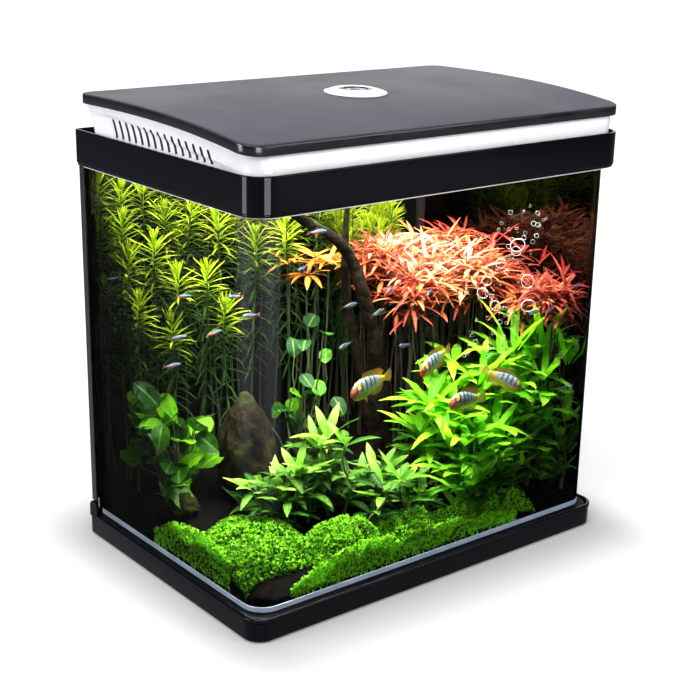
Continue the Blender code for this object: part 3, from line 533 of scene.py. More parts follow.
def carve(target, shapes, operation="DIFFERENCE"):
    """Cuts closed shapes out of a piece, or joins them to it, and keeps the result as its mesh."""
    for shape in shapes:
        tool = from_shape("tool", shape)
        modifier = target.modifiers.new("carve", "BOOLEAN")
        modifier.operation = operation
        modifier.object = tool
        bpy.context.view_layer.update()
        result = bpy.data.meshes.new_from_object(
            target.evaluated_get(bpy.context.evaluated_depsgraph_get())
        )
        target.modifiers.clear()
        target.data = result
        bpy.data.objects.remove(tool)


def keep_shading(mesh, before):
    """Gives a cut mesh the smooth shading that its surface had before the cut. New walls stay flat."""
    points = [vert.co.copy() for vert in before.vertices]
    normals = [vert.normal.copy() for vert in before.vertices]
    faces = [list(face.vertices) for face in before.polygons]
    tree = BVHTree.FromPolygons(points, faces)
    shading = [Vector((0, 0, 1))] * len(mesh.loops)
    for face in mesh.polygons:
        for loop in face.loop_indices:
            place = mesh.vertices[mesh.loops[loop].vertex_index].co
            near = tree.find_nearest(place + (face.center - place) * 0.02)[2]
            shares = interpolate.poly_3d_calc([points[i] for i in faces[near]], place)
            soft = Vector((0, 0, 0))
            for share, i in zip(shares, faces[near]):
                soft += share * normals[i]
            soft.normalize()
            shading[loop] = soft if soft.dot(face.normal) > 0.9 else face.normal.copy()
    mesh.normals_split_custom_set(shading)


def rounded(half_x, front, back, front_radius, back_radius, steps=16):
    """Points of a rectangle with round corners, anticlockwise from above."""
    corners = (
        (half_x - back_radius, back - back_radius, back_radius, 0),
        (-half_x + back_radius, back - back_radius, back_radius, 90),
        (-half_x + front_radius, front + front_radius, front_radius, 180),
        (half_x - front_radius, front + front_radius, front_radius, 270),
    )
    points = []
    for x, y, radius, start in corners:
        for step in range(steps + 1):
            angle = math.radians(start + 90 * step / steps)
            points.append((x + radius * math.cos(angle), y + radius * math.sin(angle)))
    return points


def crossed(points, rows=48):
    """Adds points down the two straight sides, so that the outline can follow the arch."""
    out = []
    for i, (x, y) in enumerate(points):
        out.append((x, y))
        nx, ny = points[(i + 1) % len(points)]
        if abs(ny - y) > 0.1:
            out.extend((x + (nx - x) * row / rows, y + (ny - y) * row / rows) for row in range(1, rows))
    return out


def at_height(points, height):
    if callable(height):
        return [(x, y, height(y)) for x, y in points]
    return [(x, y, height) for x, y in points]


def bend(centre, height, radius, start, end, steps=5):
    """Points round an arc of a section, as (inset, height) pairs."""
    out = []
    for step in range(steps + 1):
        angle = math.radians(start + (end - start) * step / steps)
        out.append((centre + radius * math.cos(angle), height + radius * math.sin(angle)))
    return out


def side_faces(shape, rows):
    """Quads between each loop of vertices and the next."""
    for low, high in zip(rows, rows[1:]):
        for i in range(len(low)):
            j = (i + 1) % len(low)
            shape.faces.new((low[i], low[j], high[j], high[i]))


def loft(loops, ring=False, shape=None):
    """Joins loops of equal length with quads: capped at both ends, or closed on itself as a ring."""
    shape = shape or bmesh.new()
    rows = [[shape.verts.new(point) for point in loop] for loop in loops]
    side_faces(shape, rows + rows[:1] if ring else rows)
    if not ring:
        shape.faces.new(list(reversed(rows[0])))
        shape.faces.new(rows[-1])
    return shape


def turned(profile, count=64):
    """A body of revolution about a vertical axis, from (radius, height) pairs."""
    turn = math.tau / count
    loops = []
    for radius, z in profile:
        ring = [(radius * math.cos(turn * i), radius * math.sin(turn * i)) for i in range(count)]
        loops.append(at_height(ring, z))
    return loft(loops)


def tube(path, radii, sides=6):
    """Points and quads of a round stem along a path."""
    path = np.asarray(path, float)
    radii = np.asarray(radii, float)
    along = np.gradient(path, axis=0)
    along /= np.linalg.norm(along, axis=1)[:, None]
    side = np.cross(along, (0.37, 0.91, 0.12))
    side /= np.linalg.norm(side, axis=1)[:, None]
    other = np.cross(along, side)
    angle = np.arange(sides) * math.tau / sides
    ring = np.cos(angle)[None, :, None] * side[:, None] + np.sin(angle)[None, :, None] * other[:, None]
    points = (path[:, None] + radii[:, None, None] * ring).reshape(-1, 3)
    rows = np.arange(len(path) - 1)[:, None] * sides
    i = np.arange(sides)[None]
    j = (i + 1) % sides
    quads = np.stack([rows + i, rows + j, rows + sides + j, rows + sides + i], axis=-1).reshape(-1, 4)
    return points, quads


def unit(vectors):
    return vectors / np.maximum(np.linalg.norm(vectors, axis=-1, keepdims=True), 1e-9)


class Growth:
    """Leaves and stems that make up one planted piece."""

    def __init__(self):
        self.points = []
        self.faces = []
        self.marks = []
        self.looks = []
        self.count = 0

    def add(self, points, faces, marks, look):
        self.points.append(points)
        self.faces.append(faces + self.count)
        self.marks.append(marks)
        self.looks.append(np.full(len(faces), look))
        self.count += len(points)

    def stem(self, path, radii, look=1, sides=5, tint=0.5):
        points, quads = tube(path, radii, sides)
        marks = np.zeros((len(points), 3))
        marks[:, 2] = tint
        self.add(points, quads, marks, look)

    def leaves(
        self, base, heading, top, length, width, curl, tint, form, rows=5, fold=0.15, look=0, wave=0.0
    ):
        """One leaf per row of base: it starts along heading, faces towards top, and bends by curl."""
        n = len(base)
        t = np.linspace(0, 1, rows + 1)
        curl = np.where(np.abs(curl) < 1e-3, 1e-3, curl)[:, None]
        heading = unit(heading)
        side = unit(np.cross(heading, top))
        top = np.cross(side, heading)
        ahead = (np.sin(curl * t) / curl)[..., None] * heading[:, None]
        rise = ((1 - np.cos(curl * t)) / curl)[..., None] * top[:, None]
        spine = base[:, None] + length[:, None, None] * (ahead + rise)
        normal = np.cos(curl * t)[..., None] * top[:, None] - np.sin(curl * t)[..., None] * heading[:, None]
        reach = (form(t)[None] * width[:, None] / 2)[..., None]
        half = reach * side[:, None]
        lift = reach * fold * normal
        ripple = wave * reach * np.sin(t * 21 + tint[:, None] * 40)[..., None] * normal
        points = np.stack([spine - half + lift + ripple, spine, spine + half + lift - ripple], axis=2)
        marks = np.zeros((n, rows + 1, 3, 3))
        marks[..., 0] = t[None, :, None]
        marks[..., 1] = np.array([-1.0, 0.0, 1.0])
        marks[..., 2] = tint[:, None, None]
        row = np.arange(rows)[:, None] * 3 + np.array([0, 1])
        quads = np.stack([row, row + 1, row + 4, row + 3], axis=-1).reshape(-1, 4)
        quads = (np.arange(n)[:, None, None] * (rows + 1) * 3 + quads).reshape(-1, 4)
        self.add(points.reshape(-1, 3), quads, marks.reshape(-1, 3), look)

    def finish(self, name, looks, nodes=(), body="tank"):
        points = np.concatenate(self.points)
        points = kept_inside(points)
        faces = np.concatenate(self.faces)
        made = new_object(name, points.tolist(), faces.tolist())
        store(made.data, "leaf", np.concatenate(self.marks))
        made.data.polygons.foreach_set("material_index", np.concatenate(self.looks).astype(np.int32))
        return settle(made, looks, body, nodes, sharp=None)


def press_corners(points, half, front, radius):
    """Moves points that stand outside the two round front corners onto them."""
    side = np.sign(points[:, 0])
    centre = np.stack([side * (half - radius), np.full(len(points), front + radius)], axis=1)
    out = points[:, :2] - centre
    far = np.linalg.norm(out, axis=1)
    press = (out[:, 0] * side > 0) & (out[:, 1] < 0) & (far > radius)
    points[press, :2] = centre[press] + out[press] * (radius / far[press])[:, None]


def grid_quads(rows, cols):
    """Quads between the points of a grid, row by row."""
    index = np.arange(rows * cols).reshape(rows, cols)
    corners = [index[:-1, :-1], index[:-1, 1:], index[1:, 1:], index[1:, :-1]]
    return np.stack(corners, axis=-1).reshape(-1, 4)


def kept_inside(points):
    """Presses points back to the inside of the glass, its round front corners included."""
    half = WATER_HALF - CLEAR
    front = WATER_FRONT + CLEAR
    back = WATER_BACK - CLEAR
    points = np.array(points)
    points[:, 0] = np.clip(points[:, 0], -half, half)
    points[:, 1] = np.clip(points[:, 1], front, back)
    press_corners(points, half, front, WATER_RADIUS)
    points[:, 2] = np.minimum(points[:, 2], WATER_TOP - 0.004)
    return points


def store(mesh, name, values):
    """Keeps three numbers for each point of a mesh."""
    attribute = mesh.attributes.new(name, "FLOAT_VECTOR", "POINT")
    attribute.data.foreach_set("vector", np.ascontiguousarray(values, dtype=np.float32).ravel())


def needle(t):
    return np.clip(np.sin(np.pi * np.clip(t, 0.02, 0.985)) ** 0.45 * (1.1 - 0.55 * t), 0.03, 1.0)


def lance(t):
    return np.clip((4 * t * (1 - t)) ** 0.85 * (1.18 - 0.36 * t), 0.05, 1.0)


def oval(t):
    return np.clip((4 * t * (1 - t)) ** 0.52 * (1.12 - 0.24 * t), 0.04, 1.0)


def strap(t):
    return np.clip(1.45 * np.clip(t, 0, 1) ** 0.55 * (1 - t) ** 0.42, 0.06, 1.0)


def bed(y):
    """Height of the substrate's surface at depth y."""
    return BED_LOW + (y - BED_FRONT) * (BED_HIGH - BED_LOW) / (BED_BACK - BED_FRONT)


def glass_gap(x, y):
    """Distance to the nearest of the side and front panes."""
    return max(min(WATER_HALF - abs(x), y - WATER_FRONT), 0.0)


def ground(x, y):
    """Height of the soil, which slumps a little towards the glass."""
    return bed(y) - SLUMP * max(1 - glass_gap(x, y) / SLUMP_REACH, 0.0) ** 1.5


def arch(y):
    """Height of the hood panel's top surface at depth y."""
    t = (y - PANEL_FRONT) / (PANEL_BACK - PANEL_FRONT)
    rise = 4 * ARCH_RISE * t * (1 - t)
    return ARCH_FRONT * (1 - t) + ARCH_BACK * t + rise + ARCH_SKEW * t * (1 - t) * (1 - 2 * t)


# Base, frame and hood -----------------------------------------------------------------------------
def outer(inset, radii):
    return rounded(
        HALF_WIDTH - inset, -HALF_DEPTH + inset, HALF_DEPTH - inset, radii[0] - inset,
        max(radii[1] - inset, 0.0007)
    )


def make_base(gloss):
    section = [(0.0032, BASE_BOTTOM)]
    section += bend(0.0030, BASE_BOTTOM + 0.0020, 0.0020, 270, 180)
    section += [(0.0009, LIP_BOTTOM - 0.0008), (0.0014, LIP_BOTTOM - 0.0004), (0.0014, LIP_BOTTOM + 0.0002)]
    section += bend(0.0006, LIP_BOTTOM + 0.0010, 0.0006, 270, 180, 2)
    section += [(0.0, LIP_BOTTOM + 0.0016)]
    section += bend(0.0014, BASE_TOP - 0.0014, 0.0014, 180, 90)
    section += bend(0.0027, BASE_TOP - 0.0008, 0.0008, 90, 0, 3)
    section += [(0.0035, BASE_FLOOR)]
    base = from_shape(
        "base_tray_moulding", loft([at_height(outer(inset, BASE_RADII), z) for inset, z in section])
    )
    tabs = []
    for side in (-1, 1):
        sections = []
        for share, grow in ((0.0004, -0.0006), (0.0010, 0.0), (0.0038, 0.0)):
            sections.append([(side * (HALF_WIDTH - share), y, z) for y, z in rear_tab(grow)])
        tabs.append(loft(sections))
    carve(base, tabs, "UNION")
    settle(base, [gloss], "tank", ["base_tray"])


def rear_tab(grow):
    """Round-topped tab at a rear corner of the base, as (y, z) points."""
    back = HALF_DEPTH - 0.0004 + grow
    front = back - TAB_WIDTH - 2 * grow
    radius = (back - front) / 2
    top = BASE_TOP + TAB_HEIGHT - TAB_WIDTH / 2
    points = [(front, BASE_TOP - 0.0040), (back, BASE_TOP - 0.0040)]
    return points + [(y, z) for y, z in bend((front + back) / 2, top, radius, 0, 180, 16)]


def make_top_frame(gloss):
    section = bend(0.0018, FRAME_BOTTOM + 0.0008, 0.0008, 270, 180, 3)
    section += [
        (0.0010, FRAME_BOTTOM + 0.0022), (0.0002, FRAME_BOTTOM + 0.0027), (0.0, FRAME_BOTTOM + 0.0031)
    ]
    section += [(0.0, FRAME_BOTTOM + 0.0036), (0.0, FRAME_TOP - 0.0018)]
    section += bend(0.0011, FRAME_TOP - 0.0011, 0.0011, 180, 90)
    section += bend(0.0023, FRAME_TOP - 0.0007, 0.0007, 90, 0, 3)
    section += [(0.0030, LEDGE_TOP)]
    loops = [at_height(outer(inset, FRAME_RADII), z) for inset, z in section]
    ledge = rounded(0.222, -0.142, 0.1475, 0.012, 0.003)
    loops += [at_height(ledge, LEDGE_TOP), at_height(ledge, GLASS_TOP + 0.0003)]
    loops += [at_height(outer(0.0033, FRAME_RADII), z) for z in (GLASS_TOP + 0.0003, FRAME_BOTTOM)]
    made = from_shape("top_frame_band", loft(loops, ring=True))
    settle(made, [gloss], "tank", ["top_frame"])


def arched_shell(section):
    """A shell from loops that run over its edge, whose first and last loops are bridged by an arched skin."""
    shape = bmesh.new()
    rows = [[shape.verts.new(point) for point in loop] for loop in section]
    side_faces(shape, rows)
    for row in (rows[0], rows[-1]):
        right = sorted((v for v in row if v.co.x > 0), key=lambda v: (round(v.co.y, 6), v.co.x))
        left = sorted((v for v in row if v.co.x < 0), key=lambda v: (round(v.co.y, 6), -v.co.x))
        for (r0, r1), (l0, l1) in zip(zip(right, right[1:]), zip(left, left[1:])):
            shape.faces.new((l0, r0, r1, l1))
    return shape


def make_panel():
    def loop(inset, drop):
        outline = rounded(
            PANEL_HALF - inset, PANEL_FRONT + inset, PANEL_BACK - inset,
            PANEL_RADII[0] - inset, PANEL_RADII[1] - inset,
        )
        return at_height(crossed(outline), lambda y: arch(y) - drop)

    section = [loop(0.0060, 0.0)]
    section += [loop(inset, 0.0016 - z) for inset, z in bend(0.0016, 0.0, 0.0016, 90, 180, 5)]
    section += [loop(0.0, PANEL_EDGE - 0.0010), loop(0.0003, PANEL_EDGE - 0.0003), loop(0.0010, PANEL_EDGE)]
    section += [loop(PANEL_SKIRT, PANEL_EDGE), loop(PANEL_SKIRT, PANEL_SKIN)]
    panel = from_shape("top_panel_cover", arched_shell(section))
    carve(panel, [turned(((CUP_RADIUS + 0.0003, 0.470), (CUP_RADIUS + 0.0003, 0.500)), 64)])

    look, web = new_look("panel_charcoal")
    place = web.where()
    fine = web.noise(1500.0, 2.0, place)
    grain = web.cells(2100.0, place)
    patch = web.noise(9.0, 4.0, place)
    web.surface(
        web.shader(
            Base_Color=web.mix(patch, (0.022, 0.0225, 0.040), (0.027, 0.0275, 0.046)),
            Roughness=web.ramp(patch, 0.3, 0.7, 0.44, 0.50),
            Specular_IOR_Level=0.34,
            Normal=web.bump(web.sum("ADD", fine, grain), 0.22, 0.0003),
        )
    )
    # The panel's sides get a glossier black that is darker than the top: the gloss is the moulding's finish,
    # the darker colour is painted shade on the sides.
    edge = moulded("panel_edge_gloss_painted_shade", (0.006, 0.006, 0.009), (0.009, 0.009, 0.013), 0.20, 500.0, 0.05, 0.3)
    settle(panel, [look, edge], "hood", ["top_panel"])
    for face in panel.data.polygons:
        face.material_index = 1 if face.normal.z < 0.45 else 0


def make_hood_body():
    top_half = PANEL_HALF - 0.0035

    def loop(share, inset=0.0):
        """A level of the flared wall: share runs from the frame's top, 0, to the panel's underside, 1."""
        flare = share**1.8
        half = HOOD_HALF + (top_half - HOOD_HALF) * flare - inset
        front = -0.1545 + 0.0040 * flare**1.5 + inset
        back = HOOD_BACK + 0.0045 * flare - inset
        points = []
        for x, y in crossed(rounded(half, front, back, 0.024 - inset, 0.014 - inset)):
            z = (1 - share) * (FRAME_TOP + 0.0010) + share * (arch(y) - PANEL_EDGE - 0.0003)
            points.append((x - math.copysign(recess(share, y), x), y, z))
        return points

    def recess(share, y):
        """Depth of the flat that the vents sit in. Its upper edge runs down towards the front corner."""
        crease = 0.74 - 0.74 * min(max((0.075 - y) / 0.205, 0.0), 1.0)
        inside = min(max((crease - share) / 0.10, 0.0), 1.0)
        ends = min(max((y + 0.132) / 0.02, 0.0), 1.0) * min(max((0.128 - y) / 0.02, 0.0), 1.0)
        return 0.0013 * inside * ends

    def level(half, front, back, height, radii=(0.024, 0.014)):
        return at_height(crossed(rounded(half, front, back, *radii)), height)

    def under(drop):
        return lambda y: arch(y) - PANEL_EDGE - 0.0003 - drop

    wall = HOOD_WALL
    shares = [i / 20 for i in range(21)]
    section = [level(0.2325, -0.1535, HOOD_BACK - 0.0010, HOOD_BOTTOM)]
    section += [loop(share) for share in shares]
    section += [level(0.2260, -0.1400, 0.1330, under(0.0), (0.014, 0.008))]
    section += [level(0.2260, -0.1400, 0.1330, under(wall), (0.014, 0.008))]
    section += [level(top_half - wall - 0.0006, -0.1505 + wall, HOOD_BACK + 0.0045 - wall, under(wall))]
    section += [loop(share, wall) for share in (0.55, 0.3, 0.0)]
    section += [level(0.2325 - wall, -0.1535 + wall, HOOD_BACK - 0.0010 - wall, HOOD_BOTTOM)]
    body = from_shape("hood_moulding", loft(section, ring=True))

    slots = bmesh.new()
    for side in (-1, 1):
        for count in range(VENTS):
            vent_slot(slots, side, VENT_MIDDLE + (count - (VENTS - 1) / 2) * VENT_PITCH)
    gland = turned(((GLAND_RADIUS, -0.008), (GLAND_RADIUS, 0.008)), 24)
    turn = Matrix.Translation((GLAND_X, HOOD_BACK, GLAND_Z)) @ Matrix.Rotation(math.radians(90), 4, "X")
    bmesh.ops.transform(gland, matrix=turn, verts=gland.verts)
    uncut = body.data.copy()
    carve(body, [slots, gland])

    look, web = new_look("hood_white_gloss")
    place = web.where()
    patch = web.noise(18.0, 3.0, place)
    web.surface(
        web.shader(
            Base_Color=web.mix(patch, (0.80, 0.80, 0.83), (0.86, 0.86, 0.88)),
            Roughness=web.ramp(patch, 0.3, 0.7, 0.22, 0.32),
            Coat_Weight=0.3,
            Coat_Roughness=0.1,
            Normal=web.bump(web.noise(700.0, 2.0, place), 0.08, 0.0002),
        )
    )
    # The inside faces of the hood and the walls of the vent slots get a near-black material: painted shade
    # where the enclosed hood would be dark.
    shade = moulded("hood_inside_painted_shade", (0.020, 0.020, 0.024), (0.030, 0.030, 0.034), 0.7, 300.0, 0.3)
    settle(body, [look, shade], "hood", ["hood_body"])
    keep_shading(body.data, uncut)
    # Picks the inside faces and the slot walls for the painted shade.
    for face in body.data.polygons:
        x, y, z = face.center
        inner = abs(x) < HOOD_HALF + 0.0030 * max(
            (z - FRAME_TOP) / 0.03, 0.0
        ) - 0.0012 and face.normal.x * x < 0
        inner = inner and abs(face.normal.x) > 0.6
        slot_wall = abs(face.normal.x) < 0.45 and abs(x) > 0.2295 and abs(y) < 0.115
        slot_wall = slot_wall and FRAME_TOP < z < arch(y) - VENT_DROP + 0.001
        face.material_index = 1 if inner or slot_wall else 0


def vent_slot(shape, side, y):
    """A leaning slot with round ends through one side wall, whose lower end is further forward."""
    low = FRAME_TOP - 0.0020
    high = arch(y) - VENT_DROP
    tall = (high - low) / 2
    radius = VENT_WIDTH / 2
    outline = bend(0.0, tall - radius, radius, 0, 180, 6) + bend(0.0, -tall + radius, radius, 180, 360, 6)
    sections = []
    for x in (side * 0.2450, side * 0.2290):
        loop = []
        for across, up in outline:
            back = across * math.cos(VENT_LEAN) + up * math.sin(VENT_LEAN)
            rise = up * math.cos(VENT_LEAN) - across * math.sin(VENT_LEAN)
            loop.append((x, y + back, (low + high) / 2 + rise))
        sections.append(loop)
    loft(sections, shape=shape)


def make_switch(white, black):
    peak = arch(0.0) + SWITCH_RISE

    def ring(radius, height):
        turn = math.tau / 96
        points = [(radius * math.cos(turn * i), radius * math.sin(turn * i)) for i in range(96)]
        return at_height(points, height)

    def seat(rise):
        return lambda y: arch(y) + rise

    dome = [ring(CUP_RADIUS, CUP_BOTTOM), ring(CUP_RADIUS, seat(0.0003)), ring(SWITCH_RADIUS, seat(0.0003))]
    dome += [ring(SWITCH_RADIUS, seat(0.0010)), ring(SWITCH_RADIUS - 0.0003, seat(0.0014))]
    for step in range(1, 8):
        share = step / 8
        rise = (peak - arch(0.0) - 0.0016) * math.sin(share * math.pi / 2)
        dome.append(ring(SWITCH_RADIUS - 0.0006 - 0.0125 * share, seat(0.0015 + rise * 0.99)))
    dome += [ring(WELL_RADIUS + 0.0010, peak - 0.0001), ring(WELL_RADIUS + 0.0003, peak - 0.0002)]
    dome += [ring(WELL_RADIUS, peak - 0.0006), ring(WELL_RADIUS, CUP_BOTTOM + 0.0012)]
    bezel = from_shape("switch_dome", loft(dome))
    settle(bezel, [white], "hood", ["switch_bezel"])

    seat_z = peak - SWITCH_RISE
    top = peak - 0.0003
    collar = [(BUTTON_RADIUS - 0.0046, top - 0.0012), (BUTTON_RADIUS - 0.0040, top - 0.0002)]
    collar += [
        (BUTTON_RADIUS - 0.0034, top), (BUTTON_RADIUS - 0.0008, top), (BUTTON_RADIUS - 0.0001, top - 0.0006)
    ]
    collar += [
        (BUTTON_RADIUS, top - 0.0012), (BUTTON_RADIUS, seat_z - 0.0060),
        (BUTTON_RADIUS - 0.0010, seat_z - 0.0070)
    ]
    button = from_shape("switch_button_ring", turned(list(reversed(collar)), 96))
    settle(button, [black], "button", ["switch_button"])

    look, web = new_look("button_brushed")
    x, y, _ = web.axes(web.where())
    brush = web.add("ShaderNodeCombineXYZ")
    web.join(web.sum("MULTIPLY", x, 90.0), brush.inputs[0])
    web.join(web.sum("MULTIPLY", y, 2600.0), brush.inputs[1])
    lines = web.noise(1.0, 3.0, brush.outputs[0])
    web.surface(
        web.shader(
            Base_Color=web.mix(lines, (0.34, 0.35, 0.38), (0.50, 0.51, 0.54)),
            Metallic=0.9,
            Roughness=web.ramp(lines, 0.3, 0.7, 0.28, 0.42),
            Normal=web.bump(lines, 0.15, 0.0001),
        )
    )
    cap = [
        (BUTTON_RADIUS - 0.0050, top - 0.0030), (BUTTON_RADIUS - 0.0047, top - 0.0012),
        (0.0090, top - 0.0008)
    ]
    cap += [(0.0040, top - 0.0006), (0.0008, top - 0.00055)]
    disc = from_shape("switch_button_cap", turned(cap, 64))
    settle(disc, [look], "button")

    mark = bmesh.new()
    height = top - 0.00035
    arc = [math.radians(-240 + 300 * i / 40) for i in range(41)]
    loops = []
    for angle in arc:
        (x0, y0), (x1, y1) = [(r * math.sin(angle), r * math.cos(angle)) for r in (0.0040, 0.0052)]
        loops.append(
            [(x0, y0, height - 0.0005), (x1, y1, height - 0.0005), (x1, y1, height), (x0, y0, height)]
        )
    loft(loops, shape=mark)
    bar = [(-0.0006, 0.0032), (0.0006, 0.0032), (0.0006, 0.0072), (-0.0006, 0.0072)]
    loft([at_height(bar, height - 0.0005), at_height(bar, height)], shape=mark)
    settle(from_shape("switch_power_mark", mark), [black], "button")


# Glass and water ----------------------------------------------------------------------------------
def make_frame_seal():
    """Clear bead between the glass and the frame's lower edge. Its emission is a painted glow that stands in
    for the lamp's light.
    """
    outside = bent_path(GLASS_HALF + 0.0012, GLASS_FRONT - 0.0012, GLASS_BACK, GLASS_RADIUS + 0.0012)
    inside = bent_path(GLASS_HALF + 0.0002, GLASS_FRONT - 0.0002, GLASS_BACK, GLASS_RADIUS + 0.0002)
    sections = []
    for (ox, oy), (ix, iy) in zip(outside, inside):
        sections.append(
            [
                (ix, iy, SEAL_BOTTOM), (ox, oy, SEAL_BOTTOM + 0.0005), (ox, oy, FRAME_BOTTOM - 0.0003),
                (ix, iy, FRAME_BOTTOM)
            ]
        )
    bead = from_shape("frame_seal_bead", loft(sections))
    look, web = new_look("seal_bead_painted_glow")
    settle(bead, [look], "tank")
    patch = web.noise(60.0, 3.0)
    web.surface(
        web.shader(
            Base_Color=web.mix(patch, (0.66, 0.68, 0.72), (0.82, 0.83, 0.86)),
            Roughness=web.ramp(patch, 0.3, 0.7, 0.22, 0.38),
            # Painted glow: the bead's emission stands in for lamp light carried along it.
            Emission_Color=(0.80, 0.83, 0.90),
            Emission_Strength=web.ramp(patch, 0.2, 0.8, 0.20, 0.36),
        )
    )


def bent_path(half_x, front, back, radius, steps=24):
    """From the rear left end, round both front corners, to the rear right end."""
    points = [(-half_x, back)]
    for centre_x, start in ((-half_x + radius, 180), (half_x - radius, 270)):
        for step in range(steps + 1):
            angle = math.radians(start + 90 * step / steps)
            points.append((centre_x + radius * math.cos(angle), front + radius + radius * math.sin(angle)))
    points.append((half_x, back))
    return points


def make_glass():
    clear = glass_look("tank_glass", 0.10, 0.0010)
    outside = bent_path(GLASS_HALF, GLASS_FRONT, GLASS_BACK, GLASS_RADIUS)
    inside = bent_path(GLASS_HALF - GLASS, GLASS_FRONT + GLASS, GLASS_BACK, GLASS_RADIUS - GLASS)
    sections = []
    for (ox, oy), (ix, iy) in zip(outside, inside):
        sections.append(
            [(ox, oy, GLASS_BOTTOM), (ix, iy, GLASS_BOTTOM), (ix, iy, GLASS_TOP), (ox, oy, GLASS_TOP)]
        )
    pane = from_shape("bent_glass_sheet", loft(sections))
    settle(pane, [clear, haze_look("tank_glass_bend")], "tank", ["bent_front_glass"])
    for face in pane.data.polygons:
        face.material_index = 1 if min(abs(face.normal.x), abs(face.normal.y)) > 0.03 else 0

    outline = rounded(WATER_HALF, WATER_FRONT, WATER_BACK, WATER_RADIUS, 0.001)
    water = from_shape(
        "water_body", loft([at_height(outline, WATER_BOTTOM), at_height(outline, WATER_TOP)])
    )
    settle(
        water,
        [
            water_look("water_clear", 1.33, (0.9, 0.9, 0.9)),
            water_look("water_side", 1.75, (0.02, 0.021, 0.02))
        ],
        "tank"
    )
    for face in water.data.polygons:
        face.material_index = 1 if abs(face.normal.x) > 0.35 else 0


# Planting -----------------------------------------------------------------------------------------
def stem_path(root, top, sway=0.012, steps=14):
    """A stem that leaves the soil straight up and leans a little on its way to its top."""
    root = np.asarray(root, float)
    top = np.asarray(top, float)
    t = np.linspace(0, 1, steps)[:, None]
    lean = (3 * t**2 - 2 * t**3) * (top - root) * np.array([1.0, 1.0, 0.0])
    swing = np.sin(t * math.pi * 1.5) * random.normal(0, sway, 3) * np.array([1.0, 1.0, 0.0])
    path = root + lean + swing * np.sin(t * math.pi)
    path[:, 2] = root[2] + (top[2] - root[2]) * t[:, 0]
    return path


def crown(
    growth, path, reach, leaf, width, tint, form=needle, gap=0.0045, per_node=5, rise=(0.42, 1.25),
    curl=-0.40, look=0
):
    """The leafy end of a stem: a star of narrow leaves, over sparse leaves below it that are darker, partly
    as older leaves and partly as painted shade under the crown.
    """
    steps = np.linalg.norm(np.diff(path, axis=0), axis=1)
    length = np.concatenate([[0], np.cumsum(steps)])
    total = length[-1]
    reach = min(reach, total * 0.9)
    nodes = np.concatenate(
        [np.arange(total * 0.42, total - reach, gap * 3.4), np.arange(total - reach, total, gap)]
    )
    nodes = np.concatenate([nodes, np.full(2, total)])
    below = total - nodes
    spots = np.stack([np.interp(nodes, length, path[:, i]) for i in range(3)], axis=1)
    axis = unit(path[-1] - path[-3])
    n = len(nodes) * per_node
    spots = np.repeat(spots, per_node, axis=0)
    below = np.repeat(below, per_node)
    turn = np.repeat(
        np.arange(len(nodes)) * 1.25, per_node
    ) + np.tile(np.arange(per_node), len(nodes)) * math.tau / per_node
    turn = turn + random.normal(0, 0.22, n)
    round_ = np.stack([np.cos(turn), np.sin(turn), np.zeros(n)], axis=1)
    young = np.exp(-below / (reach * 0.24))
    lift = rise[0] + (rise[1] - rise[0]) * young - 5.0 * below + random.normal(0, 0.12, n)
    heading = np.cos(lift)[:, None] * round_ + np.sin(lift)[:, None] * axis
    top = -np.sin(lift)[:, None] * round_ + np.cos(lift)[:, None] * axis
    size = leaf * random.uniform(0.85, 1.12, n) * np.clip(0.60 + below / 0.014, 0.60, 1.0)
    # Tone falls the further a leaf sits below the crown: partly older leaves, partly painted shade.
    tone = tint[0] + (tint[1] - tint[0]) * np.exp(-((below / reach) ** 2) * 1.6) + random.normal(0, 0.08, n)
    bends = curl * (1.7 - 1.9 * young) + random.normal(0, 0.16, n)
    growth.leaves(
        spots, heading, top, size, width * random.uniform(0.85, 1.15, n), bends, tone, form, 5, 0.25, look
    )


def rosette(
    growth, centre, count, length, width, form, tilt, curl, tint, rows=6, fold=0.14, wave=0.0, look=0
):
    """Leaves that spread from one point."""
    turn = np.arange(count) * 2.39996 + random.uniform(0, 6.28)
    round_ = np.stack([np.cos(turn), np.sin(turn), np.zeros(count)], axis=1)
    rise = random.uniform(tilt[0], tilt[1], count)
    heading = np.cos(rise)[:, None] * round_ + np.sin(rise)[:, None] * UP
    top = -np.sin(rise)[:, None] * round_ + np.cos(rise)[:, None] * UP
    base = np.asarray(centre, float) + round_ * 0.002 + random.normal(0, 0.0012, (count, 3))
    tone = random.uniform(tint[0], tint[1], count)
    size = length * random.uniform(0.7, 1.1, count)
    wide = width * random.uniform(0.8, 1.1, count)
    growth.leaves(
        base, heading, top, size, wide, random.normal(curl, 0.25, count), tone, form, rows, fold, look, wave
    )


def feathery(growth, tops, leaf=0.027, width=0.0031, reach=0.055, tint=(-0.15, 0.95)):
    """Tall stem plants with narrow leaves, one stem per top."""
    for x, y, z in tops:
        root = (x + random.normal(0, 0.005), y + random.normal(0, 0.006), bed(y) - 0.004)
        path = stem_path(root, (x, y, z), 0.005)
        growth.stem(path, np.linspace(0.0013, 0.0008, len(path)), tint=0.1)
        crown(growth, path, reach, leaf, width, tint)


def scattered(low, high, count):
    """Points spread evenly through a box."""
    return [tuple(random.uniform(low[i], high[i]) for i in range(3)) for _ in range(count)]


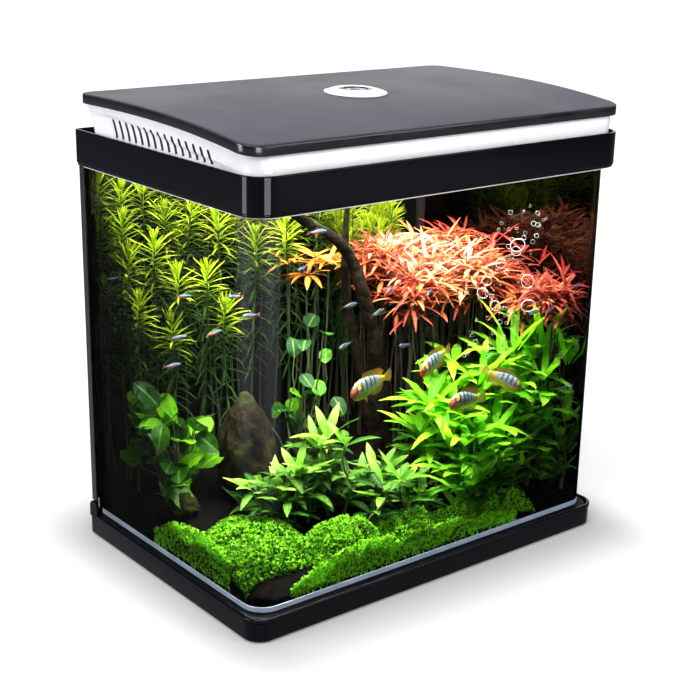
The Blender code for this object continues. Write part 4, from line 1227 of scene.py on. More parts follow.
def make_stem_plants():
    green = leaf_look(
        "stem_leaf_green", (0.003, 0.018, 0.002), (0.28, 0.42, 0.006), (0.52, 0.56, 0.03), 0.45, 0.3, 0.45,
        0.30, gloss=0.06
    )
    stalk = leaf_look(
        "stem_stalk_green", (0.003, 0.009, 0.002), (0.05, 0.09, 0.012), (0.06, 0.10, 0.02), 0.2, 0.1
    )
    copper = leaf_look(
        "copper_leaf", (0.42, 0.10, 0.010), (0.92, 0.42, 0.06), (0.80, 0.22, 0.03), 0.4, 0.35, 0.4, 0.35
    )
    left = Growth()
    feathery(
        left,
        (
            (-0.189, 0.092, 0.340), (-0.158, 0.120, 0.362), (-0.136, 0.102, 0.372), (-0.110, 0.094, 0.356),
            (-0.214, 0.112, 0.362), (-0.205, 0.130, 0.388), (-0.182, 0.126, 0.394), (-0.152, 0.134, 0.398),
            (-0.125, 0.130, 0.392), (-0.098, 0.132, 0.384), (-0.224, 0.140, 0.402), (-0.224, 0.143, 0.350),
            (-0.216, 0.098, 0.328), (-0.146, 0.118, 0.336),
        ),
        tint=(-0.3, 1.0),
    )
    feathery(
        left,
        (
            (-0.214, 0.082, 0.282), (-0.172, 0.076, 0.306), (-0.143, 0.064, 0.308), (-0.124, 0.058, 0.268),
            (-0.224, 0.134, 0.290), (-0.184, 0.068, 0.256),
        ),
        leaf=0.028, width=0.0032, reach=0.040, tint=(-0.35, 1.15),
    )
    left.finish("feather_plants_left", [green, stalk], ["stem_plants_left"])

    centre = Growth()
    feathery(
        centre,
        (
            (-0.066, 0.085, 0.330), (-0.067, 0.120, 0.350), (-0.007, 0.120, 0.340), (-0.045, 0.132, 0.358),
            (0.020, 0.128, 0.340), (0.048, 0.122, 0.345), (-0.082, 0.128, 0.366), (-0.024, 0.132, 0.352),
        ),
        tint=(-0.2, 0.62),
    )
    feathery(centre, ((-0.030, 0.078, 0.340),), leaf=0.026, width=0.0036, reach=0.045, tint=(-0.1, 1.1))
    for spot in (
        (-0.030, 0.072, 0.300), (-0.004, 0.060, 0.306), (0.012, 0.058, 0.298), (-0.012, 0.062, 0.286)
    ):
        path = stem_path((spot[0], spot[1], bed(spot[1])), spot, 0.004)
        centre.stem(path, np.linspace(0.0013, 0.0009, len(path)), tint=0.1)
        rosette(centre, spot, 12, 0.034, 0.0060, lance, (-0.2, 0.9), -0.5, (0.1, 1.0), look=2)
    centre.finish("feather_plants_centre", [green, stalk, copper], ["stem_plants_centre"])

    right = Growth()
    spots = scattered((0.066, 0.094, 0.300), (0.150, 0.136, 0.352), 30)
    feathery(right, spots, leaf=0.023, width=0.0020, reach=0.060, tint=(-0.1, 0.85))
    right.finish("feather_plants_right", [green, stalk], ["stem_plants_right"])


def make_red_plants():
    red = leaf_look(
        "red_leaf", (0.22, 0.006, 0.004), (0.84, 0.60, 0.45), (0.66, 0.05, 0.02), 0.26, 0.35, 0.36, 0.35,
        middle=(0.68, 0.17, 0.045),
    )
    stalk = leaf_look("red_stalk", (0.006, 0.003, 0.002), (0.05, 0.02, 0.01), (0.06, 0.02, 0.01), 0.2, 0.1)
    growth = Growth()
    places = [(random.uniform(0.070, 0.224), random.uniform(-0.030, 0.072)) for _ in range(104)]
    places += [(random.uniform(0.168, 0.226), random.uniform(-0.128, -0.030)) for _ in range(22)]
    for x, y in places:
        share = (x - 0.068) / 0.156
        forward = max(-0.030 - y, 0.0)
        z = 0.268 + 0.022 * (
            max(y, -0.030) + 0.030
        ) / 0.102 + 0.008 * math.sin(share * math.pi) + random.normal(0, 0.007)
        z -= 0.06 * forward
        path = stem_path((x, y, bed(y)), (x, y, min(z, 0.312)), 0.005)
        growth.stem(path, np.linspace(0.0011, 0.0007, len(path)), tint=0.15)
        # Leaves are paler, towards the pink-white tone, in the middle of the thicket, and darker towards its
        # front and sides and on the lower rosettes: painted highlight and painted shade.
        pale = 0.85 - 1.6 * abs(share - 0.42) - 4.0 * forward
        for level, drop in ((1.0, 0.0), (0.85, 0.008)):
            spot = path[-1] - np.array([0.0, 0.0, drop])
            tint = (0.0 + 0.35 * pale, 0.50 + 0.85 * pale * level)
            rosette(growth, spot, 7, 0.040, 0.0048, lance, (-0.20, 0.95), -0.60, tint, fold=0.28)
        spot = path[-1] - np.array([0.0, 0.0, 0.022])
        rosette(growth, spot, 3, 0.032, 0.0044, lance, (-0.5, 0.5), -0.4, (-0.2, 0.45), fold=0.28)
    for x, y, z in (
        (0.226, -0.060, 0.290), (0.224, -0.100, 0.282), (0.214, -0.045, 0.302), (0.190, -0.020, 0.312)
    ):
        rosette(growth, (x, y, z), 5, 0.040, 0.0075, lance, (0.2, 0.9), -0.3, (0.0, 0.25), fold=0.28)
    growth.finish("red_plant_thicket", [red, stalk], ["red_plants"])


def make_sword_plants():
    green = leaf_look(
        "sword_leaf", (0.010, 0.120, 0.004), (0.30, 0.90, 0.010), (0.54, 0.86, 0.07), 0.45, 0.35, 0.42,
        0.40, 0.15
    )
    stalk = leaf_look("sword_stalk", (0.03, 0.10, 0.01), (0.20, 0.34, 0.05), (0.3, 0.4, 0.1), 0.2, 0.1)
    growth = Growth()
    for _ in range(46):
        x = random.uniform(0.048, 0.224)
        y = random.uniform(-0.143, -0.044)
        share = (y + 0.143) / 0.099
        right = (x - 0.048) / 0.176
        z = 0.060 + 0.085 * share + 0.085 * right + random.normal(0, 0.016)
        path = stem_path((x, y, bed(y)), (x, y, z), 0.006)
        growth.stem(path, np.linspace(0.0020, 0.0013, len(path)), tint=0.3)
        # The lower rosette on each stem is darker: partly older leaves, partly painted shade under the upper
        # rosette.
        for level in (1.0, 0.55):
            spot = path[int((len(path) - 1) * level)]
            tint = (-0.10 + 0.35 * level, 0.35 + 0.75 * level)
            rosette(growth, spot, 5, 0.062, 0.0125, lance, (0.20, 1.10), -0.75, tint, rows=8, wave=0.12)
    for x, y, z, length in (
        (0.158, -0.092, 0.205, 0.076), (0.196, -0.100, 0.200, 0.070), (0.120, -0.080, 0.170, 0.066),
        (0.215, -0.125, 0.188, 0.066), (0.178, -0.120, 0.178, 0.064), (0.092, -0.072, 0.140, 0.066),
        (0.066, -0.100, 0.110, 0.062),
    ):
        rosette(
            growth, (x, y, z), 5, length, 0.0135, strap, (0.65, 1.30), -0.50, (0.60, 1.10), rows=8,
            wave=0.08
        )
    for x, y, z in scattered((0.064, -0.144, 0.058), (0.222, -0.116, 0.100), 15):
        rosette(
            growth, (x, y, z), 6, 0.046, 0.0100, lance, (0.15, 1.10), -0.65, (0.1, 1.0), rows=7, wave=0.1
        )
    growth.finish("sword_plant_group", [green, stalk], ["sword_plants_right"])


def make_lance_plants():
    green = leaf_look(
        "lance_leaf", (0.003, 0.045, 0.002), (0.15, 0.42, 0.012), (0.44, 0.62, 0.15), 0.55, 0.3, 0.38, 0.45,
        0.15
    )
    stalk = leaf_look("lance_stalk", (0.02, 0.06, 0.01), (0.16, 0.26, 0.05), (0.2, 0.3, 0.1), 0.2, 0.1)
    for name, node, low, high, count in (
        ("lance_plants_centre", "lance_plant_centre", (-0.150, -0.078, 0.092), (-0.040, -0.026, 0.150), 15),
        ("lance_plants_front", "lance_plant_front", (-0.046, -0.112, 0.070), (0.038, -0.060, 0.104), 11),
    ):
        growth = Growth()
        for x, y, z in scattered(low, high, count):
            z = min(z, 0.096 + 0.58 * (x + 0.150))
            path = stem_path((x, y, bed(y)), (x, y, z), 0.008)
            growth.stem(path, np.linspace(0.0016, 0.0010, len(path)), tint=0.2)
            # Lower rosettes on each stem are darker: partly older leaves, partly painted shade under the
            # upper ones.
            for level in (1.0, 0.60, 0.25):
                spot = path[int((len(path) - 1) * level)]
                tint = (0.55 * level - 0.40, 0.15 + 0.90 * level)
                rosette(growth, spot, 5, 0.040, 0.0100, lance, (0.10, 1.00), -0.55, tint, rows=7, wave=0.08)
        growth.finish(name, [green, stalk], [node])


def blades(growth, spots, root, size, width, form, tint, spread=0.5):
    """Leaves on long stalks from one root: each spot is where a leaf starts."""
    for spot in spots:
        spot = np.asarray(spot, float)
        path = stem_path(root, spot, 0.006, 8)
        growth.stem(path, np.linspace(0.0011, 0.0007, len(path)), tint=0.2)
    spots = np.asarray(spots, float)
    n = len(spots)
    out = spots - np.asarray(root, float)
    out[:, 2] = 0
    heading = unit(
        out + random.normal(0, 0.02, (n, 3))
    ) + np.array([0, 0, 0.15]) + random.normal(0, spread, (n, 3)) * 0.5
    top = unit(UP + np.array([-0.25, -0.45, 0.0]) + random.normal(0, 0.3, (n, 3)))
    length = size * random.uniform(0.75, 1.15, n)
    wide = width * random.uniform(0.8, 1.1, n)
    tone = random.uniform(tint[0], tint[1], n)
    growth.leaves(
        spots, heading, top, length, wide, random.normal(-0.5, 0.2, n), tone, form, 8, 0.18, wave=0.08
    )


def make_broad_plants():
    green = leaf_look(
        "broad_leaf", (0.003, 0.040, 0.003), (0.16, 0.50, 0.006), (0.32, 0.60, 0.01), 0.25, 0.25, 0.28,
        0.35, 0.3
    )
    stalk = leaf_look("broad_stalk", (0.02, 0.04, 0.01), (0.12, 0.15, 0.04), (0.2, 0.2, 0.1), 0.2, 0.1)
    for name, node, root, low, high, count, size, tint in (
        (
            "broad_leaf_clump", "broad_leaf_plant", (-0.196, 0.052), (-0.224, 0.022, 0.090),
            (-0.172, 0.104, 0.170), 44, 0.034, (0.0, 1.1)
        ),
        (
            "round_leaf_clump", "round_leaf_plant", (-0.040, 0.032), (-0.072, 0.008, 0.105),
            (-0.010, 0.056, 0.240), 24, 0.024, (-0.5, 0.7)
        ),
    ):
        growth = Growth()
        blades(
            growth, scattered(low, high, count), (root[0], root[1], bed(root[1])), size, size * 0.72, oval,
            tint
        )
        growth.finish(name, [green, stalk], [node])


def cushion_height(x, y, low, high, height):
    """Height of a moss cushion: lumpy, and falling away at its edges."""
    edge = 0.15 + 0.85 * min(glass_gap(x, y) / 0.036, 1.0)
    for value, start, end, wall in ((x, low[0], high[0], -WATER_HALF), (y, low[1], high[1], WATER_FRONT)):
        if start < wall + 0.003:
            start = 2 * start - end
        edge *= max(1 - abs((value - (start + end) / 2) / ((end - start) / 2)) ** 3.2, 0.0)
    lump = noise.noise(Vector((x * 30, y * 30, 3.0))) + 0.6 * noise.noise(Vector((x * 85, y * 85, 8.0)))
    soil = ground(x, y) - 0.001
    return soil + (height - soil) * math.sqrt(edge) * min(max(0.80 + 0.55 * lump, 0.12), 1.0)


def make_moss(name, nodes, low, high, height, count, look, leaf=0.0042, skirts=()):
    """A cushion of tiny leaves over a lumpy core."""
    growth = Growth()
    for start, end, heights, leaves in skirts:
        moss_skirt(growth, start, end, heights, leaves, leaf)
    cols, rows = 44, 22
    core = []
    for y in np.linspace(low[1], high[1], rows):
        for x in np.linspace(low[0], high[0], cols):
            core.append((x, y, cushion_height(x, y, low, high, height) - 0.003))
    growth.add(np.array(core), grid_quads(rows, cols), np.zeros((len(core), 3)), 0)
    x = random.uniform(low[0], high[0], count)
    y = random.uniform(low[1], high[1], count)
    z = np.array([cushion_height(a, b, low, high, height) for a, b in zip(x, y)])
    base = np.stack([x, y, z - 0.003 * random.uniform(0, 1, count)], axis=1)
    lean = random.normal(0, 1, (count, 3))
    lean[:, 2] = np.abs(lean[:, 2]) * 0.8 + 0.3
    size = leaf * random.uniform(0.6, 1.1, count)
    tint = random.uniform(-0.1, 1.2, count)
    facing = unit(random.normal(0, 1, (count, 3)) + 1.4 * UP)
    growth.leaves(
        base, unit(lean), facing, size, size * 0.8, random.normal(0, 0.4, count), tint, oval, 2, 0.2
    )
    growth.finish(name, [look], nodes)


def moss_skirt(growth, start, end, heights, count, leaf):
    """Leaves that hang against the glass between two places, from the bottom pane to the bed's edge."""
    share = random.uniform(0, 1, count)
    base = np.array(start)[None] * (1 - share[:, None]) + np.array(end)[None] * share[:, None]
    high = np.interp(share, np.linspace(0, 1, len(heights)), heights)
    z = WATER_BOTTOM + 0.001 + (high - WATER_BOTTOM) * random.uniform(0, 1, count)
    points = np.column_stack([base + random.normal(0, 0.0012, (count, 2)), z])
    size = leaf * random.uniform(0.6, 1.1, count)
    facing = unit(random.normal(0, 0.8, (count, 3)) + np.array([-0.3, -0.3, 1.3]))
    growth.leaves(
        points, unit(
            random.normal(0, 1, (count, 3))
        ), facing, size, size * 0.8, random.normal(0, 0.4, count),
        random.uniform(0.3, 1.5, count), oval, 2, 0.2,
    )


def make_mosses():
    # painted_glow gives the moss emission: a painted glow that brightens it, the moss is no lamp.
    look = leaf_look(
        "moss_leaf", (0.012, 0.110, 0.004), (0.36, 0.96, 0.020), (0.62, 0.98, 0.10), 0.6, 0.4, 0.45, 0.0,
        painted_glow=0.11
    )
    make_moss(
        "moss_cushion_left", ["moss_front_left"], (-0.230, -0.128), (-0.130, -0.030), 0.084, 9600, look,
        skirts=(((-0.2275, 0.040), (-0.2275, -0.100), (0.046, 0.066, 0.074, 0.074, 0.064), 3400),),
    )
    make_moss(
        "moss_cushion_middle", [], (-0.146, -0.149), (-0.060, -0.094), 0.086, 6200, look,
        skirts=(((-0.186, -0.1478), (-0.056, -0.1478), (0.042, 0.056, 0.066, 0.066, 0.064), 2500),),
    )
    make_moss(
        "moss_cushion_right", ["moss_front_centre"], (-0.056, -0.149), (0.018, -0.102), 0.080, 5200, look,
        skirts=(((-0.060, -0.1478), (0.120, -0.1478), (0.052, 0.058, 0.056, 0.050, 0.040), 3000),),
    )
    make_moss("moss_carpet", [], (0.000, -0.149), (0.150, -0.112), 0.060, 5600, look, 0.0036)


def make_stones():
    look = bark_look(
        "stone_mossy", (0.004, 0.003, 0.002), (0.034, 0.024, 0.010), (0.022, 0.036, 0.005), 0.26
    )
    for name, node, centre, size, seed, height in (
        ("mossy_stone_large", "rock_large", (-0.126, 0.018), (0.037, 0.031), 1.0, 0.184),
        ("mossy_stone_small", "rock_small", (-0.206, 0.020), (0.019, 0.023), 5.0, 0.092),
    ):
        shape = bmesh.new()
        bmesh.ops.create_icosphere(shape, subdivisions=5, radius=1.0)
        low = bed(centre[1]) - 0.006
        for vert in shape.verts:
            place = vert.co.copy()
            rough = noise.fractal(place * 1.6 + Vector((seed, 0, 0)), 0.9, 2.1, 6)
            ridge = noise.noise(place * 5.0 + Vector((0, seed, 0)))
            share = (place.z + 1) / 2
            wide = 1.0 - 0.42 * share**1.6
            grow = 1 + 0.16 * rough + 0.06 * ridge
            vert.co.x = centre[0] + place.x * size[0] * wide * grow
            vert.co.y = centre[1] + place.y * size[1] * wide * grow
            vert.co.z = low + (height - low) * min(share * (1 + 0.05 * rough), 1.0)
        made = from_shape(name, shape)
        settle(made, [look], "tank", [node], sharp=None)


def make_driftwood():
    look = bark_look(
        "driftwood_bark", (0.003, 0.002, 0.0015), (0.018, 0.012, 0.007), (0.040, 0.050, 0.012), 0.16
    )
    growth = Growth()
    main = [
        (
            -0.078, 0.022, 0.380
        ), (-0.045, 0.020, 0.356), (-0.018, 0.016, 0.340), (0.002, 0.014, 0.322), (0.014, 0.012, 0.300),
        (0.023, 0.011, 0.275), (0.031, 0.010, 0.250), (0.040, 0.010, 0.222), (0.048, 0.011, 0.190),
        (0.052, 0.012, 0.150),
        (0.054, 0.014, 0.110), (0.052, 0.015, 0.0725),
    ]
    second = [
        (0.016, 0.030, 0.365), (0.015, 0.031, 0.330), (0.016, 0.032, 0.290), (0.022, 0.032, 0.250),
        (0.030, 0.030, 0.210), (0.040, 0.026, 0.160), (0.046, 0.020, 0.110)
    ]
    for path, low, high in ((main, 0.0050, 0.0105), (second, 0.0034, 0.0062)):
        fine = spline(path, 90)
        radii = np.linspace(low, high, len(fine))
        points, quads = tube(fine, radii, 22)
        centres = np.repeat(fine, 22, axis=0)
        out = points - centres
        grow = []
        for point in points:
            knot = noise.fractal(Vector(point) * 45.0, 1.0, 2.0, 4)
            grow.append(1 + 0.26 * knot + 0.10 * noise.noise(Vector(point) * 160.0))
        points = centres + out * np.array(grow)[:, None]
        growth.add(points, quads, np.zeros((len(points), 3)), 0)
    growth.finish("driftwood_branch", [look], ["driftwood"])


def spline(points, count):
    """Smooth points through a rough path."""
    points = np.asarray(points, float)
    padded = np.vstack([2 * points[0] - points[1], points, 2 * points[-1] - points[-2]])
    out = []
    for u in np.linspace(0, len(points) - 1.001, count):
        i = int(u)
        t = u - i
        p0, p1, p2, p3 = padded[i : i + 4]
        out.append(
            0.5 * (
                2 * p1 + (p2 - p0) * t + (
                    2 * p0 - 5 * p1 + 4 * p2 - p3
                ) * t**2 + (3 * p1 - p0 - 3 * p2 + p3) * t**3
            )
        )
    return np.array(out)


def make_substrate():
    look, web = new_look("aqua_soil")
    place = web.where()
    grains = web.cells(360.0, place)
    patch = web.noise(22.0, 4.0, place)
    shade = web.mix(patch, (0.0030, 0.0024, 0.0018), (0.0085, 0.0065, 0.0045))
    web.surface(
        web.shader(
            # Darker in the gaps between grains, which the bump sinks: painted shade between the grains.
            Base_Color=web.mix(web.ramp(grains, 0.0, 0.7), shade, (0.0015, 0.001, 0.001)),
            Roughness=web.ramp(patch, 0.3, 0.7, 0.7, 0.95),
            Specular_IOR_Level=0.03,
            Normal=web.bump(grains, -0.9, 0.0020),
        )
    )
    half, front, back = BED_HALF - 0.0022, BED_FRONT + 0.0022, BED_BACK - 0.0005
    xs = np.linspace(-half, half, 116)
    ys = np.linspace(front, back, 76)
    points = []
    for y in ys:
        for x in xs:
            lump = 0.0016 * noise.noise(
                Vector((x * 110, y * 110, 0))
            ) + 0.0022 * noise.noise(Vector((x * 22, y * 22, 2)))
            points.append((x, y, ground(x, y) + lump))
    points = np.array(points)
    press_corners(points, half, front, BED_RADIUS)
    index = np.arange(len(points)).reshape(len(ys), len(xs))
    edge = list(index[0]) + list(index[1:, -1]) + list(index[-1, -2::-1]) + list(index[-2:0:-1, 0])
    start = len(points)
    floor = [(points[i][0], points[i][1], BED_BOTTOM) for i in edge]
    faces = grid_quads(len(ys), len(xs)).tolist()
    for i in range(len(edge)):
        j = (i + 1) % len(edge)
        faces.append((int(edge[j]), int(edge[i]), start + i, start + j))
    faces.append(tuple(start + i for i in range(len(edge))))
    made = new_object("aqua_soil_bed", points.tolist() + floor, faces)
    settle(made, [look], "tank", ["substrate_bed"])


# Fish and bubbles ---------------------------------------------------------------------------------
def fish(name, spots, profile, looks, eye, fins):
    """Fish joined as one piece. Each spot is (place, heading, pitch, length), angles in degrees."""
    shape_points, shape_faces, marks, kinds = [], [], [], []
    count = 0

    def take(points, faces, values, kind):
        nonlocal count
        shape_points.append(points)
        shape_faces.extend([tuple(int(i) + count for i in face) for face in faces])
        marks.append(values)
        kinds.extend([kind] * len(faces))
        count += len(points)

    stations = np.linspace(0, 1, 22)
    around = np.arange(16) * math.tau / 16
    for place, heading, pitch, length in spots:
        turn = Matrix.Rotation(
            math.radians(heading), 3, "Z"
        ) @ Matrix.Rotation(math.radians(-pitch), 3, "Y")
        turn = np.array(turn)

        def put(local):
            return np.asarray(place) + (np.asarray(local) * length) @ turn.T

        body, values = [], []
        for s in stations:
            tall, wide, drop = profile(s)
            for angle in around:
                body.append((0.5 - s, wide * math.cos(angle), drop + tall * math.sin(angle)))
                values.append((s, math.sin(angle), 0.0))
        grid = np.arange(len(stations) * 16).reshape(-1, 16)
        nxt = np.roll(grid, -1, axis=1)
        quads = np.stack([grid[:-1], nxt[:-1], nxt[1:], grid[1:]], axis=-1).reshape(-1, 4).tolist()
        quads += [list(grid[0][::-1]), list(grid[-1])]
        take(put(body), quads, np.array(values), 0)
        for outline in fins:
            root = np.array(outline[0])
            tip = np.array(outline[1])
            u = np.linspace(0, 1, len(root))
            fin_rows = []
            fin_marks = []
            for v in np.linspace(0, 1, 5):
                row = root * (1 - v) + tip * v
                fin_rows.append(np.stack([row[:, 0], 0.004 * np.sin(u * 9 + v * 3) * v, row[:, 1]], axis=1))
                fin_marks += [(share, v, 1.0) for share in u]
            take(put(np.concatenate(fin_rows)), grid_quads(5, len(root)), np.array(fin_marks), 1)
        for side in (-1, 1):
            ball = bmesh.new()
            bmesh.ops.create_icosphere(ball, subdivisions=2, radius=eye[2])
            local = [(eye[0] + v.co.x, side * eye[3] + v.co.y * 0.6, eye[1] + v.co.z) for v in ball.verts]
            ring = [(math.hypot(v.co.x, v.co.z) / eye[2], 0, 0) for v in ball.verts]
            take(put(local), [[v.index for v in f.verts] for f in ball.faces], np.array(ring), 2)
            ball.free()
    made = new_object(name, np.concatenate(shape_points).tolist(), shape_faces)
    store(made.data, "skin", np.concatenate(marks))
    made.data.polygons.foreach_set("material_index", np.array(kinds, dtype=np.int32))
    settle(made, looks, "tank", sharp=None)


def ram_profile(s):
    tall = 0.205 * math.sin(math.pi * min(max(s, 0.015), 0.99) ** 0.62) ** 0.75 * (1 - 0.25 * s) + 0.030 * s
    wide = 0.085 * math.sin(math.pi * min(max(s, 0.02), 0.985) ** 0.60) ** 0.8 * (1 - 0.4 * s) + 0.006
    return tall, wide, 0.015 * math.sin(math.pi * s)


def tetra_profile(s):
    tall = 0.110 * math.sin(math.pi * min(max(s, 0.02), 0.985) ** 0.70) ** 0.8 * (1 - 0.3 * s) + 0.016
    wide = 0.050 * math.sin(math.pi * min(max(s, 0.02), 0.985) ** 0.65) ** 0.8 + 0.004
    return tall, wide, 0.0


def skin_looks():
    look, web = new_look("ram_skin")
    along, up, _ = web.mark("skin")
    place = web.where()
    scales = web.cells(700.0, place)
    patch = web.noise(300.0, 3.0, place)
    head = web.ramp(along, 0.30, 0.18)
    tail = web.ramp(along, 0.68, 0.90)
    belly = web.ramp(up, -0.10, -0.55)
    yellow = web.mix(patch, (0.62, 0.36, 0.010), (0.86, 0.60, 0.030))
    body = web.mix(web.ramp(scales, 0.35, 0.10), (0.30, 0.38, 0.44), (0.12, 0.32, 0.66))
    body = web.mix(web.sum("MAXIMUM", web.sum("MAXIMUM", head, tail), belly), body, yellow)
    wave = web.sum("SINE", web.sum("MULTIPLY", web.sum("SUBTRACT", along, 0.05), 46.0))
    bars = web.sum("MULTIPLY", web.ramp(wave, 0.15, 0.55), web.ramp(up, -0.25, 0.15))
    bars = web.sum("MULTIPLY", bars, web.ramp(along, 0.72, 0.62))
    body = web.mix(web.sum("MULTIPLY", bars, 0.92), body, (0.006, 0.014, 0.055))
    mouth = web.ramp(along, 0.10, 0.03)
    body = web.mix(mouth, body, (0.70, 0.09, 0.03))
    web.surface(
        web.shader(
            Base_Color=body,
            Roughness=web.ramp(patch, 0.2, 0.8, 0.22, 0.40),
            Coat_Weight=0.4,
            Normal=web.bump(scales, 0.5, 0.0004),
        )
    )
    fin, web = new_look("ram_fin")
    along, out, _ = web.mark("skin")
    rays = web.sum("SINE", web.sum("MULTIPLY", along, 90.0))
    tone = web.mix(web.ramp(out, 0.4, 1.0), (0.72, 0.50, 0.03), (0.80, 0.28, 0.03))
    tone = web.mix(web.ramp(web.cells(900.0), 0.25, 0.1), tone, (0.15, 0.45, 0.70))
    solid = web.shader(Base_Color=tone, Roughness=0.35, Alpha=0.85, Normal=web.bump(rays, 0.4, 0.0004))
    web.surface(solid)
    eye, web = new_look("fish_eye")
    ring = web.mark("skin")[0]
    web.surface(
        web.shader(
            Base_Color=web.mix(web.ramp(ring, 0.50, 0.62), (0.004, 0.004, 0.004), (0.75, 0.30, 0.10)),
            Roughness=0.12, Coat_Weight=0.6
        )
    )
    neon, web = new_look("tetra_skin")
    along, up, _ = web.mark("skin")
    body = web.mix(web.ramp(up, -0.5, 0.3), (0.12, 0.06, 0.05), (0.010, 0.014, 0.020))
    red = web.sum("MULTIPLY", web.ramp(along, 0.40, 0.52), web.ramp(up, 0.2, -0.1))
    body = web.mix(red, body, (0.85, 0.05, 0.03))
    stripe = web.sum("MULTIPLY", web.ramp(up, 0.05, 0.22), web.ramp(up, 0.66, 0.48))
    stripe = web.sum("MULTIPLY", stripe, web.ramp(along, 0.88, 0.80))
    blue = web.mix(web.noise(500.0, 2.0), (0.010, 0.12, 0.55), (0.06, 0.42, 0.85))
    body = web.mix(stripe, body, blue)
    web.surface(
        web.shader(
            Base_Color=body,
            Roughness=web.ramp(web.noise(600.0, 2.0), 0.2, 0.8, 0.18, 0.35),
            Coat_Weight=0.2,
            # Painted sheen: the blue stripe also glows with emission in place of the shine it catches.
            Emission_Color=blue,
            Emission_Strength=web.sum("MULTIPLY", stripe, 0.45),
        )
    )
    pale, web = new_look("tetra_fin")
    along, out, _ = web.mark("skin")
    tone = web.mix(out, (0.40, 0.06, 0.04), (0.30, 0.26, 0.24))
    web.surface(web.shader(Base_Color=tone, Roughness=web.ramp(out, 0.0, 1.0, 0.3, 0.45), Alpha=0.45))
    return look, fin, eye, neon, pale


def make_fish():
    ram, ram_fin, eye, neon, pale = skin_looks()
    ram_fins = [
        ([(0.26, 0.165), (0.18, 0.195), (0.05, 0.195), (-0.10, 0.165), (-0.25, 0.115), (-0.36, 0.075)],
         [(0.23, 0.215), (0.16, 0.300), (0.03, 0.300), (-0.13, 0.280), (-0.33, 0.250), (-0.47, 0.150)]),
        ([(-0.02, -0.135), (-0.12, -0.115), (-0.22, -0.080), (-0.34, -0.040)],
         [(-0.08, -0.205), (-0.22, -0.235), (-0.36, -0.215), (-0.45, -0.100)]),
        ([(-0.44, 0.058), (-0.45, 0.025), (-0.45, -0.005), (-0.44, -0.035)],
         [(-0.66, 0.145), (-0.70, 0.060), (-0.70, -0.045), (-0.66, -0.125)]),
        (
            [(0.18, -0.135), (0.14, -0.145), (0.09, -0.150)],
            [(0.10, -0.260), (0.05, -0.300), (0.02, -0.230)]
        ),
    ]
    for i, spot in enumerate(
        (
            ((-0.078, -0.126, 0.223), 194, -4, 0.055),
            ((0.008, -0.126, 0.231), 198, -12, 0.050),
            ((0.052, -0.130, 0.181), 190, 8, 0.052),
            ((0.109, -0.130, 0.192), -26, -30, 0.042),
        )
    ):
        fish(
            f"dwarf_cichlid_{i + 1}", [spot], ram_profile, [ram, ram_fin, eye], (0.34, 0.055, 0.036, 0.062),
            ram_fins
        )
    tetra_fins = [
        ([(0.08, 0.095), (0.00, 0.095), (-0.06, 0.085)], [(-0.02, 0.210), (-0.08, 0.185), (-0.10, 0.120)]),
        (
            [(-0.05, -0.080), (-0.18, -0.060), (-0.28, -0.040)],
            [(-0.14, -0.160), (-0.26, -0.110), (-0.32, -0.070)]
        ),
        ([(-0.46, 0.025), (-0.47, 0.0), (-0.46, -0.025)], [(-0.66, 0.120), (-0.60, 0.0), (-0.66, -0.120)]),
    ]
    shoal = []
    for place in (
        (-0.218, 0.128, 0.298), (-0.211, 0.000, 0.308), (-0.151, 0.000, 0.298), (-0.133, 0.000, 0.275),
        (-0.216, 0.005, 0.265), (-0.176, 0.000, 0.264), (-0.215, 0.018, 0.232), (-0.143, -0.125, 0.388),
        (-0.157, -0.120, 0.354), (-0.111, -0.135, 0.314), (-0.116, -0.135, 0.275), (-0.076, -0.135, 0.301),
        (-0.062, -0.135, 0.321), (-0.040, -0.135, 0.261), (-0.009, -0.135, 0.311), (0.144, -0.135, 0.264),
        (0.168, -0.135, 0.262), (0.214, -0.130, 0.282), (0.189, -0.137, 0.205), (0.200, -0.136, 0.168),
        (0.218, -0.128, 0.215),
    ):
        heading = (180 if random.uniform() < 0.6 else 0) + random.normal(10, 14)
        shoal.append((place, heading, random.normal(0, 6), random.uniform(0.017, 0.021)))
    fish(
        "tetra_shoal", shoal, tetra_profile, [neon, pale, eye], (0.38, 0.02, 0.030, 0.036), tetra_fins,
    )


def make_bubbles():
    look, web = new_look("bubble_film_painted_glow")
    facing = web.add("ShaderNodeLayerWeight").outputs["Facing"]
    clear = web.add("ShaderNodeBsdfTransparent")
    # The bubble skins glow with emission: a painted highlight, the bubbles are no lamp.
    skin = web.shader(
        Base_Color=web.mix(web.noise(400.0, 2.0), (0.75, 0.78, 0.78), (0.95, 0.95, 0.95)),
        Roughness=0.15,
        Emission_Color=(0.80, 0.85, 0.80),
        Emission_Strength=0.45,
    )
    web.blend(web.ramp(facing, 0.50, 0.90), clear.outputs[0], skin)
    shape = bmesh.new()
    for i in range(84):
        big = i < 8
        radius = random.uniform(0.0045, 0.0080) if big else random.uniform(0.0009, 0.0028)
        climb = random.uniform(0.0, 1.0)
        place = Vector(
            (
                0.040 + 0.070 * random.uniform() + 0.050 * climb,
                -0.134 + random.normal(0, 0.005),
                0.225 + 0.165 * climb if not big else random.uniform(0.262, 0.352),
            )
        )
        spin = Matrix.Translation(place) @ Matrix.Rotation(random.uniform(0, 3), 4, "X") @ Matrix.Diagonal(
            (radius, radius, radius * 0.85, 1)
        )
        bmesh.ops.create_icosphere(shape, subdivisions=3 if big else 2, radius=1.0, matrix=spin)
    made = from_shape("bubble_column", shape)
    settle(made, [look], "tank", sharp=None)


